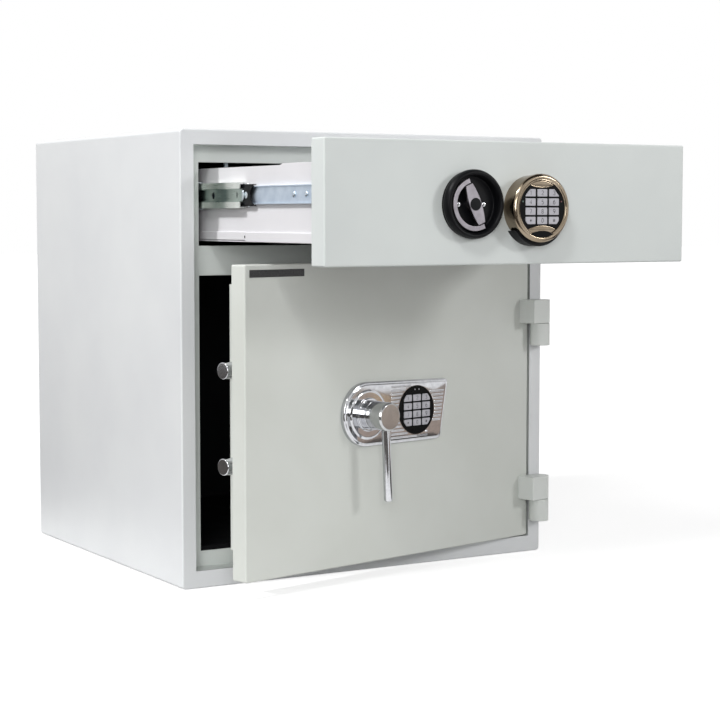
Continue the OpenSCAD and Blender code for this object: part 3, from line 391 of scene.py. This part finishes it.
# The cage's black strip is 100 mm long, hollowed out at its front end, with a lip along each row of balls.
CAGE = 116.4
notch = [(0, -11.4), (3, -10.4), (9, -5.5), (10.4, 0), (9, 5.5), (3, 10.4), (0, 11.4)]
notch = fillet(notch, 2)[1:-1]
outline = np.r_[[(100, -13.7), (0, -13.7)], notch, [(0, 13.7), (100, 13.7)]][::-1] + (CAGE, SLIDE_Z)
shells = [plate(outline, -238.9, -237.9, 0.15, "x")]
for z in (SLIDE_Z - BALL_ROW, SLIDE_Z + BALL_ROW):
    shells += [block((-238.9, CAGE, z - 0.5), (-235.1, CAGE + 100, z + 0.5), 0.2)]
black_moulding = moulded("black_moulding", "070709", "0c0d10", 0.42, shine=0.12)
shells, cages = mirrored(shells), following(0.678)
piece("ball_cage_pair", shells, black_moulding, "slide_cages", "black_plastic", cages, "slide_ball_cages")
w = np.linspace(0.06, np.pi - 0.06, 12)
ball = np.c_[1.65 * np.sin(w), -1.65 * np.cos(w)]
spots = [CAGE + 5.7 + i * (100 / 7 - 1) for i in range(1, 7)]
shells = [lathe(ball + (0, SLIDE_Z + z), (-235.95, y), "z", 16) for y in spots for z in (-BALL_ROW, BALL_ROW)]
shells += [lathe([(4.3, -238.4), (4.3, -238.9), (3.8, -239.08), (0.3, -239.1)], (137.2, SLIDE_Z), "x", 32)]
piece("balls_and_rivet", mirrored(shells), zinc, "slide_cages", "zinc_plate", cages)

# DRAWER BOX
# A folded tray of thin sheet with a hem along its lower edge and a step in its upper one.
# It is coated a warmer white than the front, and its sides are screwed to the slides.
drawer = following(1)
box_paint = powder_coat("drawer_box_coat", "d6d5d8", "dedde0", 0.38)
side = [(30.8, 455), (430.8, 455), (430.8, 550), (166, 550), (159, 552), (30.8, 552)]
shells = [plate(fillet(side, 0.8, closed=True, n=3), -233, -231.8, 0.3, "x")]
# The hem is folded in two lengths with a rivet's dimple between them, and a slot runs along the rear one
# above its lower edge.
shells += [block((-236, 30.8, 455), (-232, 253.4, 467.5), 0.9)]
shells += [block((-236, 254.8, 457.2), (-232, 430.8, 467.8), 0.9)]
shells += [block((-235.6, 254.8, 455), (-232, 430.8, 456.1), 0.3)]
shells = mirrored(shells)
# The back and the bottom.
shells += [block((-232.6, 429.6, 455), (232.6, 430.8, 550), 0.4)]
shells += [block((-232.6, 31, 455), (232.6, 430, 456.2), 0.4)]
piece("drawer_tray", shells, box_paint, "drawer", "drawer_paint", drawer, "drawer_box")
# A black disc on each hem over the rivet's dimple: painted shade in the dimple.
dimple_shades = [lathe([(1.7, -235.5), (1.7, -235.95), (0.3, -236.02)], (254.2, 461.4), "x", 16)]
piece("hem_dimple_shades", mirrored(dimple_shades), black_moulding, "drawer", "black_plastic", drawer)
w = np.linspace(np.pi / 2, 0.35, 6)
head = np.r_[[(3.6, -234.2)], np.c_[3.7 * np.sin(w), -234.6 - 1.5 * np.cos(w)]]
screws = [lathe(head, (y, SLIDE_Z), "x", 24) for y in (96.9, 127.4)]
bright_zinc = zinc_plate("bright_zinc_screw", "c0cbd4", "d5dee5", 0.3)
piece("slide_screws", mirrored(screws), bright_zinc, "drawer", "zinc_plate", drawer)
wears(zinc, "drawer_lock_case", "drawer_bolt", "drawer_keeper", "bolt_bar")

# DRAWER FRONT
# A hollow front folded from 2 mm sheet, screwed to the tray from behind. Its folds have a radius
# of about 2 mm that catches the light along the left end.
# The drawer front's coat is a little darker than the frame's: painted shade.
drawer_paint = powder_coat("drawer_powder_coat", "ced3d2", "d5dad8")
shells = [block((-265.8, 0, 429.3), (265.8, 30.8, 577.8), 2.2, 4)]
piece("drawer_front_panel", shells, drawer_paint, "drawer", "front_paint", drawer, "drawer_front")

# DRAWER HANDLE
# A black cup is screwed to the front with two chromed screws. In it a lens shaped bar of satin
# nickel turns the bolt's cam, and a flat bow swings out of the cup on the bar's two stubs.
HANDLE = (-65.5, 501.8)
cup = [(40, 0), (40.2, -4), (41.5, -6.5), (41.5, -11.5), (39.5, -15)]
cup += [(36, -15), (34, -11.5), (33.2, -2.5), (5.05, -2.5), (5.05, 0)]
cup = fillet(cup, (0.3, 1, 1.5, 2.4, 2.4, 2.4, 2.2, 1.5, 0.2, 0.2), closed=True)
shells = [lathe(cup, HANDLE, n=96, ring=True)]
piece("handle_cup_ring", shells, black_moulding, "drawer", "black_plastic", drawer, "handle_cup")


def polished(name, dark, light, rough, smear=6):
    """Plated or lacquered metal: faint smears shift its tone and a fine haze breaks up its gloss."""
    haze = (0.5, 3, 1, 1, 1)
    patterns = [(smear, 3, 1, 1, 1), haze, haze]
    return finish(name, dark, light, patterns, (rough - 0.03, rough + 0.04), 0.004, Metallic=1.0)


chrome = polished("bright_chrome", "b9babe", "c9cacd", 0.07)
screw = fillet([(3.4, -2.4), (3.4, -4.2), (1.6, -5.1), (0.3, -5.2)], 1.0)
shells = [lathe(screw, (HANDLE[0] + x, HANDLE[1]), n=24) for x in (-18.2, 18.2)]
piece("cup_screws", shells, chrome, "drawer", "chrome", drawer)


def leaning(points):
    """Turns a flat outline about the handle's axis by its lean of 22 degrees to the left."""
    lean = math.radians(22)
    c, s = math.cos(lean), math.sin(lean)
    u, v = np.asarray(points, float).T
    return np.c_[HANDLE[0] + u * c - v * s, HANDLE[1] + u * s + v * c]


# Satin nickel plate: its haze leaves no mirror image, only a soft grey.
satin_nickel = polished("satin_nickel", "837f84", "928e94", 0.34, 9)
t = np.linspace(-25, 25, 25)
half_width = 8.6 - 3.6 * (t / 25) ** 2
outline = np.r_[np.c_[half_width, t], np.c_[-half_width, t][::-1]]
shells = [plate(leaning(fillet(outline, 0.6, closed=True, n=3)), -13, -9, 0.6)]
w = np.linspace(0, 2 * np.pi, 20, endpoint=False)
stub = np.stack([leaning(np.c_[np.cos(w), np.full(20, end)]) for end in (-30, 30)])
shells += [skin(np.stack([stub[..., 0], np.broadcast_to(-11.3 + np.sin(w), (2, 20)), stub[..., 1]], -1))]
# The spindle behind the bar, its cam disc and the pin that lifts the bolt.
shells += [lathe([(8, -9.5), (8, -2.8)], HANDLE, n=48), lathe([(5, -3), (5, 62)], HANDLE, n=32)]
shells += [lathe([(15.23, 61), (15.23, 65)], HANDLE, n=64)]
shells += [lathe([(3, 62), (3, 70.5)], (HANDLE[0] + 8.896, HANDLE[1] - 6), n=24)]
piece("turning_bar", shells, satin_nickel, "bow_bar", "satin_nickel", drawer, "bow_bar")
shells = [lathe(fillet([(7.6, -12.6), (7.6, -13.5), (0.3, -13.6)], 0.4), HANDLE, n=48)]
piece("bar_cap", shells, black_moulding, "bow_bar", "black_plastic", drawer)
# The bow is a ring of radii 32 and 26 mm, cut along a line 3 mm beside the axis.
w = np.linspace(np.arccos(3 / 32), 2 * np.pi - np.arccos(3 / 32), 49)
v = np.linspace(np.arccos(3 / 26), 2 * np.pi - np.arccos(3 / 26), 49)[::-1]
outline = np.r_[32 * np.c_[np.cos(w), np.sin(w)], 26 * np.c_[np.cos(v), np.sin(v)]]
shells = [plate(leaning(outline), -13, -9.6, 0.7)]
piece("folding_bow", shells, satin_nickel, "bow_grip", "satin_nickel", drawer, "bow_grip")

# DRAWER KEYPAD
# A cast housing in polished champagne lacquer: a can on the front, a wide bezel, and two lens shaped
# caps over a black face. A black battery tray closes the cut-off bottom of the can.
PAD = (24, 497.3)
champagne = polished("champagne_lacquer", "857866", "9a8d7c", 0.16, 20)


def can_outline(slot):
    """Circle of radius 40 cut off 27 below its centre, there with a slot of that half width if it isn't 0."""
    end = np.arcsin(-27 / 40)
    w = np.linspace(end, np.pi - end, 90)
    ring = 40 * np.c_[np.cos(w), np.sin(w)]
    if slot:
        ring = np.r_[ring, [(-slot, -27), (-slot, 15), (slot, 15), (slot, -27)]]
    return ring + PAD


shells = [plate(can_outline(0), -18.5, -16.8, 0.02), plate(can_outline(16.8), -16.81, -3.19, 0.02)]
shells += [plate(can_outline(0), -3.2, 0, 0.02)]
bezel = [(30, -18.2), (41.5, -18), (41.5, -22.6), (38.6, -25), (36, -24.9)]
bezel += [(34.9, -24.1), (33.5, -24.6), (33.4, -19.5), (30, -19.5)]
bezel = fillet(bezel, (0.1, 0.6, 1.5, 2.4, 0.8, 0.5, 0.5, 0.2, 0.1), closed=True)
shells += [lathe(bezel, PAD, n=128, ring=True), lathe([(30.5, -18.2), (30.5, -19.5)], PAD, n=96)]
# A lens lies between the circle of 33.2 mm about the axis and one of 50 mm round a centre straight above or
# below it, and carries a raised lip along that second circle.
RIM, ARC = 33.2, 50
for far in (74.1, -70.5):
    side = np.sign(far)
    end = np.arccos((RIM**2 + far**2 - ARC**2) / (2 * RIM * abs(far)))
    arc = np.linspace(np.pi / 2 - end, np.pi / 2 + end, 40)
    inner = RIM * np.c_[np.cos(arc), np.sin(arc)]
    reach = np.arcsin(inner[-1, 0] / ARC)
    near = np.linspace(reach, -reach, 40)
    edge = np.c_[ARC * np.sin(near), abs(far) - ARC * np.cos(near)]
    shells += [plate(np.r_[inner, edge[1:-1]] * (1, side) + PAD, -23.7, -18, 0.9)]
    w = np.linspace(0, 2 * np.pi, 12, endpoint=False)
    x, z = edge[2:-2, :, None].transpose(1, 0, 2)
    lip = [x * np.ones(12), np.broadcast_to(-23.6 + 0.5 * np.sin(w), (36, 12)), z + 1.0 + 0.7 * np.cos(w)]
    shells += [skin(np.stack(lip, -1) * (1, 1, side) + (PAD[0], 0, PAD[1]))]
piece("keypad_bezel_and_can", shells, champagne, "drawer", "champagne_metal", drawer, "keypad_housing")
# The faces behind the keys are smooth black moulding with a soft shine.
gloss_black = moulded("gloss_black_face", "050506", "090a0b", 0.3, 2.0, 0.08)
wears(gloss_black, "drawer_keypad_face", "door_keypad_face")
wears(black_moulding, "battery_tray")

# KEYS
# Twelve pale rubber-coated keys on each keypad, the outer corners cut to the round face, with printed
# figures. The two lower corner keys carry a star and a hash in place of words.
GLYPHS = {
    "1": [[(-0.16, 0.3), (0.04, 0.5), (0.04, -0.5)]],
    "2": [[(0, 0.22, 0.27, 0.28, 165, -35), (-0.27, -0.5), (0.28, -0.5)]],
    "3": [[(-0.02, 0.25, 0.25, 0.25, 150, -90), (-0.02, -0.24, 0.28, 0.26, 90, -150)]],
    "4": [[(0.1, -0.5), (0.1, 0.5), (-0.3, -0.2), (0.28, -0.2)]],
    "5": [[(0.24, 0.5), (-0.2, 0.5), (-0.23, 0.08), (-0.01, -0.18, 0.28, 0.32, 125, -145)]],
    "6": [[(0.25, -0.1, 0.53, 0.6, 100, 180), (0, -0.2, 0.28, 0.3, 180, 540)]],
    "7": [[(-0.27, 0.5), (0.27, 0.5), (-0.06, -0.5)]],
    "8": [[(0, 0.25, 0.23, 0.25, 270, -90)], [(0, -0.25, 0.28, 0.25, 90, 450)]],
    "9": [[(-0.25, 0.1, 0.53, 0.6, -80, 0), (0, 0.2, 0.28, 0.3, 0, 360)]],
    "0": [[(0, 0, 0.28, 0.5, 0, 360)]],
    "star": [[(0, 0.3), (0, -0.3)], [(-0.26, 0.15), (0.26, -0.15)], [(-0.26, -0.15), (0.26, 0.15)]],
    "hash": [[(x, 0.35), (x, -0.35)] for x in (-0.12, 0.12)] + [[(-0.32, z), (0.32, z)] for z in (0.13, -0.13)]
}
KEYS = ["1", "2", "3", "4", "5", "6", "7", "8", "9", "star", "0", "hash"]
FIGURE, KEY_CUT = 5, 29


def stroke(parts):
    """Points of a stroke: a pair is a corner, and six values an ellipse's centre, radii and angles."""
    points = []
    for p in parts:
        if len(p) == 2:
            points.append(np.array([p]))
        else:
            w = np.radians(np.linspace(p[4], p[5], 2 + int(abs(p[5] - p[4]) / 20)))
            points.append(np.c_[p[0] + p[2] * np.cos(w), p[1] + p[3] * np.sin(w)])
    return np.concatenate(points)


def printed(name, centre, out):
    """Ribbons 0.13 of the figure's height wide that follow its strokes and lie 0.02 mm proud of the key."""
    shells = []
    for parts in GLYPHS[name]:
        p = stroke(parts)
        t = np.gradient(p, axis=0)
        side = np.c_[-t[:, 1], t[:, 0]] / np.linalg.norm(t, axis=1, keepdims=True) * 0.065
        pair = np.stack([p - side, p + side, p + side, p - side], 1) * FIGURE + centre
        y = np.broadcast_to([-out - 0.02, -out - 0.02, -out + 0.05, -out + 0.05], pair.shape[:2])
        shells.append(skin(np.stack([pair[..., 0], y, pair[..., 1]], -1)))
    return shells


def key_middle(i, up):
    """Middle of a key from the keypad's axis: the columns are 17.4 mm apart and the rows 11.1 mm."""
    return np.array([(i % 3 - 1) * 17.4, up + (1.5 - i // 3) * 11.1])


def key_cap(i, centre, out, up):
    """A 14.6 x 9 mm key, its corners cut 29 mm from the keypad's axis and its face out mm from the panel."""
    (x0, z0), (x1, z1) = key_middle(i, up) - (7.3, 4.5), key_middle(i, up) + (7.3, 4.5)
    corners = []
    for a, b, first in ((x1, z1, "z"), (x0, z1, "x"), (x0, z0, "z"), (x1, z0, "x")):
        if a * a + b * b <= KEY_CUT**2:
            corners.append((a, b))
        else:
            along_z = (a, np.sign(b) * np.sqrt(KEY_CUT**2 - a * a))
            along_x = (np.sign(a) * np.sqrt(KEY_CUT**2 - b * b), b)
            corners += [along_z, along_x] if first == "z" else [along_x, along_z]
    return plate(fillet(corners, 1.0, closed=True, n=4) + centre, -out, 3 - out, 0.6)


key_rubber = moulded("pale_key_rubber", "adacb3", "bab9bf", 0.5, 0.6)
key_ink = moulded("key_ink", "26272b", "303136", 0.5, 0.3)


def key_set(panel, centre, out, place, up=0):
    """The twelve keys of one keypad, up mm above its axis, each with its figure and on a body of its own."""
    for i, name in enumerate(KEYS):
        body = f"{panel}_key_{name}"
        cap = [key_cap(i, centre, out, up)]
        piece(f"{panel}_cap_{name}", cap, key_rubber, body, "key_plastic", place, body)
        figure = printed(name, key_middle(i, up) + centre, out)
        piece(f"{panel}_figure_{name}", figure, key_ink, body, "black_plastic", place)


key_set("drawer", PAD, 24.8, drawer, 1.8)

# DOOR
# A front pan of 2.5 mm sheet folded on all four sides, closed at the back by a plate with a raised
# box that covers the bolt work. A blank dark badge is stuck near the upper left corner.


def pan(half, low, high, a, b, sheet, edge):
    """Tray of sheet, closed at y = a where its edges have a radius, and open at y = b."""
    w, way = np.linspace(0, np.pi / 2, 6), np.sign(b - a)
    inset, rise, r = edge * (1 - np.sin(w)), edge * (1 - np.cos(w)), 1.2 * edge
    stations = [(half - d, low + d, high - d, r - d, a + way * y) for d, y in zip(inset, rise)]
    for d, radius, y in ((0, r, b - way * 0.6), (0.2, r, b - way * 0.15), (0.6, r, b)):
        stations += [(half - d, low + d, high - d, radius, y)]
    stations += [(half - sheet, low + sheet, high - sheet, 0.3, y) for y in (b, a + way * sheet)]
    return skin(frame_rows(stations))


# The door's coat is a darker, warmer copy of the frame's: painted shade from the drawer above it, with a
# painted warm reflection.
door_paint = powder_coat("door_powder_coat", "cdd0ca", "d4d7d2")
shells = [pan(265.8, 25.2, 427.1, 0, 25.8, 2.5, 2.2)]
piece("door_pan", shells, door_paint, "door", "door_paint", door, "door_shell")
badge_enamel = moulded("badge_enamel", "1a1a1c", "222224", 0.3, 1.0)
shells = [block((-258, -0.8, 411), (-166.5, 0, 420.5), 0.3)]
piece("badge", shells, badge_enamel, "door", "black_plastic", door)
# How far behind the door's face the bolts lie, and their heights.
BOLT_Y, BOLTS = 45.7, (169, 292)


def notched(low, high, under, over):
    """Part of the box's left wall between two heights, with half a bolt hole in its lower and upper end where
    under and over say so."""
    w = np.linspace(0, np.pi, 25)
    arc = np.c_[BOLT_Y + 11.3 * np.cos(w), 11.3 * np.sin(w)]
    points = [(25.6, low)] + [tuple(p) for p in arc[::-1] + (0, low)] * under
    points += [(58.8, low), (58.8, high)] + [tuple(p) for p in arc * (1, -1) + (0, high)] * over
    return plate(points + [(25.6, high)], -241.8, -240.3, 0.02, "x")


# The pan's back plate, and the box's left, right, back, lower and upper wall.
shells = [block((-263.2, 24.3, 27.8), (263.2, 25.8, 424.5), 0.2), notched(58.2, BOLTS[0], False, True)]
shells += [notched(*BOLTS, True, True), notched(BOLTS[1], 401, True, False)]
shells += [block((240.3, 25.6, 58.2), (241.8, 58.8, 401), 0.4)]
shells += [block((-241.8, 57.3, 58.2), (241.8, 58.8, 401), 0.4)]
shells += [block((-241.6, 25.6, z), (241.6, 58.6, z + 1.5), 0.4) for z in (58.2, 399.5)]
piece("bolt_work_box", shells, door_paint, "door", "door_paint", door, "door_inner_box")

# BOLT WORK
# Two 22 mm bolts of chromed steel bar on an upright that the spindle's cam drives. The lock
# behind the keypad has a yellow passivated case and a brass bolt.
w = np.linspace(0, np.pi / 2, 5)
bolt = np.c_[np.r_[11 - 1.4 * (1 - np.sin(w)), 11], np.r_[-265 + 1.4 * (1 - np.cos(w)), -221.8]]
shells = [lathe(bolt, (BOLT_Y, z), "x", 48) for z in BOLTS]
piece("locking_bolt_pair", shells, chrome, "bolt_work", "chrome", door, "locking_bolts")
wears(zinc_plate("yellow_zinc_plate", "b9a36a", "cdb987", 0.36), "door_lock_case")
wears(polished("machined_brass", "c9a24d", "d8b465", 0.3), "door_lock_bolt")

# ESCUTCHEON
# One polished and chromed casting: a round lobe with a low boss for the handle, a slanted right end, a
# step round the border, a sunk seat for the keypad, and half round ribs beside and under that seat.
HUB, DISC, SEAT = (-60, 225.5), (30, 225.5), 33.1


def plate_line(inset):
    """Border drawn in by inset: a half circle of 43 mm on the left, a top edge that falls by 1.38 degrees, a
    right edge that leans by 10.34 degrees and passes 146.7 mm from the axis, and two rounded corners."""
    r, fall, lean = 43 - inset, math.radians(1.38), math.tan(math.radians(10.34))
    w = np.linspace(np.pi / 2, 1.5 * np.pi, 60, endpoint=False)
    x = 146.7 - inset * math.hypot(1, lean)
    z = (r / math.cos(fall) - x * math.tan(fall)) / (1 + lean * math.tan(fall))
    turns = fillet([(0, -r), (x - r * lean, -r), (x + z * lean, z), (0, r)], [1, 8, 8, 1], n=9)
    # The long edges get more points, so that rows of this line can run to the seat's circle.
    counts = [45] + [1] * 8 + [25] + [1] * 8 + [45]
    edges = [np.linspace(a, b, n, endpoint=False) for a, b, n in zip(turns, turns[1:], counts)]
    return np.concatenate([r * np.c_[np.cos(w), np.sin(w)], *edges]) + HUB


def seat_line(r):
    """Circle about the keypad's axis, with one point towards each point of the plate's border."""
    w = np.arctan2(*(plate_line(0) - DISC).T[::-1])
    return r * np.c_[np.cos(w), np.sin(w)] + DISC


steps = [(0, 0), (0, -4.6), (0.4, -5.7), (1.2, -6.4), (2.2, -6.6)]
steps += [(3.2, -6.7), (3.6, -7.0), (3.9, -7.6), (4.6, -8)]
lines = [(plate_line(inset), y) for inset, y in steps]
lines += [(seat_line(r), y) for r, y in ((SEAT + 0.3, -8), (SEAT, -7.7), (SEAT, -4.5))]
shells = [skin(np.stack([along(p[:, 0], p[:, 1], np.full(len(p), float(y)), "y") for p, y in lines]))]
boss = [(33.6, -7.5), (33.4, -8.1), (31.4, -9.2), (30, -9.4), (22, -9.4)]
boss += [(22, -12), (19.5, -12), (19.5, -22), (5.05, -22), (5.05, -7.5)]
boss = fillet(boss, (0.1, 0.5, 0.9, 0.6, 0.6, 1, 0.4, 0.5, 0.2, 0.1), closed=True)
shells += [lathe(boss, HUB, n=96, ring=True)]
# Ribs 4.9 mm apart start right of the boss and stop short of the seat and the border, with a swell of
# 0.62 mm that runs out at their ends. The lower right corner stays smooth.
apart = DISC[0] - HUB[0]
for z in np.arange(-35.3, 36, 4.9):
    seat = np.sqrt(max((SEAT + 1.5) ** 2 - z * z, 0))
    spans = [(42, apart - seat if seat else 112)]
    if -20 < z < 26:
        spans += [(apart + seat, 139.5 + 0.18 * z)]
    elif z < 0 and apart + seat < 110:
        spans += [(apart + seat, 112)]
    for a, b in spans:
        w = np.linspace(0, np.pi, 9)
        x = np.array([a, a + 0.8, b - 0.8, b])[:, None]
        swell = np.array([0.05, 1, 1, 0.05])[:, None]
        y, v = -7.9 - 0.62 * swell * np.sin(w), z + 1.55 * np.cos(w) * np.ones_like(swell)
        shells += [skin(np.stack([np.broadcast_to(x, y.shape) + HUB[0], y, v + HUB[1]], -1))]
piece("handle_plate", shells, chrome, "door", "chrome", door, "escutcheon")

# DOOR HANDLE
# A hub turned from bar with a bevelled end, and a straight lever pressed into its side. The lever
# hangs with its lower end a little to the right.
hub = fillet([(5, -22.3), (19, -22.3), (19, -47.9), (16.9, -50), (0.4, -50)], (0.1, 0.4, 0.5, 0.5, 0.1))
shells = [lathe(np.r_[[(0.4, -22.3)], hub], HUB, n=96)]
# The hub's chrome is plated over turned marks and mirrors less sharply than the plate's.
satin_chrome = polished("satin_chrome", "aeafb0", "bcbdbd", 0.13, 12)
piece("turned_hub", shells, satin_chrome, "handle", "chrome", door, "handle_hub")
rod = fillet([(0.4, -113), (4.4, -113), (5.75, -111.6), (5.75, -8)], 0.3)
verts, faces = lathe(rod, (0, 0), "z", 48)
lean = math.radians(3)
c, s = math.cos(lean), math.sin(lean)
x, y, z = verts.T
verts = np.c_[HUB[0] + x * c - z * s, y - 40, HUB[1] + x * s + z * c]
piece("straight_lever", [(verts, faces)], chrome, "handle", "chrome", door, "lever")

# DOOR KEYPAD
# A black disc sunk in the escutcheon with the same twelve keys and two small lamps at its top. The
# drawer's keypad has a dim green lamp on the left of its keys and a dim red one on the right.
rim = [(31.6, -8.6), (31.8, -9.3), (32.7, -9.3), (33, -8.9), (33, -8.4)]
shells = [lathe(fillet(rim, 0.3, closed=True), DISC, n=96, ring=True)]
piece("door_keypad_rim", shells, gloss_black, "door", "black_plastic", door)
# The lamps are clear and dyed caps with a smooth moulded skin.
cap = fillet([(1.1, 0), (1.1, -0.4), (0.2, -0.6)], 0.3)
clear_lamp = moulded("clear_lamp", "8c8a90", "a4a2a8", 0.12, 1.0)
shells = [lathe(cap + (0, -8.9), (DISC[0] + x, DISC[1] + 28), n=16) for x in (-3.9, 3.9)]
piece("door_lamps", shells, clear_lamp, "door", "black_plastic", door)
for name, x, dark, light in (("green", -28.6, "46584f", "5c6f66"), ("red", 28.6, "4a1f24", "622a30")):
    dim = moulded(name + "_lamp", dark, light, 0.15, 1.0)
    shells = [lathe(cap + (0, -23.9), (PAD[0] + x, PAD[1] + 8), n=16)]
    piece(name + "_lamp", shells, dim, "drawer", "black_plastic", drawer)
key_set("door", DISC, 9.8, door)

# FLOOR, LIGHT AND CAMERA
# A white floor and world, a soft lamp to the left in front, a small hard one high on the left, faint ones
# in front and on the right, and boards and mats out of the picture that the polished metal mirrors.
CAMERA, TURN, TILT = (-1.32133, -2.427969, 0.488149), math.radians(30.925), math.radians(4.441)


def seen(mat):
    """1 for rays that see the stage white, else 0: the largest of the camera, glossy and transmission
    flags."""
    flags = add(mat, "LightPath").outputs
    most = flags["Is Camera Ray"]
    for flag in ("Is Glossy Ray", "Is Transmission Ray"):
        most = add(mat, "Math", {0: most, 1: flags[flag]}, operation="MAXIMUM").outputs[0]
    return most


def laid(name, corners, height, mat):
    """A flat piece of the stage between corners (x, y), height metres up."""
    mesh = bpy.data.meshes.new(name)
    mesh.from_pydata(np.c_[corners, np.full(len(corners), height)], [], [list(range(len(corners)))])
    mesh.materials.append(mat)
    made = bpy.data.objects.new(name, mesh)
    bpy.context.collection.objects.link(made)
    return made


def felt(name, dark, light):
    """Felt of a studio board or mat, mottled by its fibres."""
    return finish(name, dark, light, [(5, 3, 1, 1, 1)] * 2, (0.95, 0.95), spread=(0, 1))


# Matt floor paint, light grey under the lamps. It glows to the rays that see it white, and more so farther
# from the safe, so that no horizon is seen.
mottle, white = [(400, 3, 1, 1, 1)] * 2, linear("ffffff")
floor_paint = finish("white_floor", "c2c2c2", "c5c5c5", mottle, (0.9, 0.9), Emission_Color=white)
nodes = floor_paint.node_tree.nodes
where = nodes["Texture Coordinate"].outputs["Object"]
far = add(floor_paint, "VectorMath", {0: where}, operation="LENGTH").outputs["Value"]
links = {"Value": far, "From Min": 0.8, "From Max": 3, "To Min": 0.7, "To Max": 0.92}
glow = add(floor_paint, "MapRange", links).outputs["Result"]
glow = add(floor_paint, "Math", {0: glow, 1: seen(floor_paint)}, operation="MULTIPLY").outputs[0]
floor_paint.node_tree.links.new(glow, nodes["Principled BSDF"].inputs["Emission Strength"])
stage = [laid("floor", [(-20, -20), (20, -20), (20, 20), (-20, 20)], -0.0005, floor_paint)]
dark_felt = felt("dark_board_felt", "38332f", "46403b")
warm_felt = felt("warm_board_felt", "b8a496", "c6b4a7")
oak_felt = felt("oak_board_felt", "f8cf98", "fddbab")
# Dark mats by depth from and distance beside the camera: one before and left of the picture, one right of it.
outlook = np.array([(math.sin(TURN), math.cos(TURN)), (math.cos(TURN), -math.sin(TURN))])
left = [(-2.4, -3.6), (-2.4, 0.9), (1.75, 0.9), (1.75, -0.4), (4.2, -0.89), (4.2, -4.4), (1.75, -4.4)]
right = [(1.95, 0.8), (1.95, 2.6), (3.0, 2.6), (3.0, 0.8)]
for name, spread in (("mat_left", left), ("mat_right", right)):
    stage += [laid(name, CAMERA[:2] + np.array(spread) @ outlook, 0.0005, dark_felt)]
# The escutcheon mirrors a warm mat on the right and two strips that lie on it.
warm = [(0.894, -1.205), (2.515, -2.379), (3.017, -1.852), (1.282, -0.852)]
oak = [(1.956, -1.666), (2.359, -1.936), (2.402, -1.908), (1.996, -1.642)]
dark = [(1.996, -1.642), (2.402, -1.908), (2.43, -1.89), (2.02, -1.626)]
stage += [laid("mat_warm", warm, 0.001, warm_felt)]
stage += [laid("strip_oak", oak, 0.0015, oak_felt), laid("strip_dark", dark, 0.0015, dark_felt)]
# Dark boards that face the safe, left of the camera, behind it, right of it and high above the warm mat, and
# a dark ceiling.
boards = [(-2.7, -2.1, 0.45, 1.7, 1.0), (-1.75, -3.15, 0.45, 0.9, 1.0), (0.1, -3.3, 0.45, 2.1, 1.0)]
boards += [(2.48, -2.32, 2.57, 3.0, 1.6)]
for number, (x, y, z, wide, high) in enumerate(boards):
    bpy.ops.mesh.primitive_plane_add(size=1, location=(x, y, z))
    board = bpy.context.object
    board.name = f"board_{number}"
    board.scale = (wide, high, 1)
    board.rotation_euler = Vector((x, y, 0)).to_track_quat("Z", "Y").to_euler()
    board.data.materials.append(dark_felt)
    stage.append(board)
stage += [laid("board_overhead", [(-1.05, -3.1), (2.45, -3.1), (2.45, 0.1), (-1.05, 0.1)], 3.7, dark_felt)]

AIM = Vector((0, -0.25, 0.3))


def softbox(name, spot, size, power):
    """A square area lamp of size metres that stands at spot and points at the middle of the safe's face."""
    data = bpy.data.lights.new(name, "AREA")
    data.size, data.energy = size, power
    lamp = bpy.data.objects.new(name, data)
    lamp.location = spot
    lamp.rotation_euler = (AIM - Vector(spot)).to_track_quat("-Z", "Y").to_euler()
    bpy.context.collection.objects.link(lamp)


softbox("key", (-1.77, -2.05, 2.75), 0.6, 32)
softbox("high_left", (-2.2, -0.2, 2.75), 0.3, 70)
softbox("front_fill", (-1.7, -3.0, 0.95), 1.2, 34)
softbox("right_fill", (1.85, -2.61, 1.27), 0.5, 20)

world = bpy.data.worlds.new("white_world")
world.use_nodes = True
world.node_tree.nodes.clear()
strength = add(world, "MapRange", {"Value": seen(world), "To Min": 0.33, "To Max": 1}).outputs["Result"]
light = add(world, "Background", {"Color": white, "Strength": strength})
add(world, "OutputWorld", {"Surface": light.outputs[0]})
scene = bpy.context.scene
scene.world = world
scene.view_settings.view_transform = "Standard"

# Fitted to the photograph: 1857 px focal length on 720 px, turned 30.9 degrees to the right and 4.4 down.
view = bpy.data.cameras.new("camera")
view.lens, view.sensor_width = 92.862, 36
camera = bpy.data.objects.new("camera", view)
camera.location = CAMERA
camera.rotation_euler = (math.pi / 2 - TILT, 0, -TURN)
bpy.context.collection.objects.link(camera)
scene.camera = camera
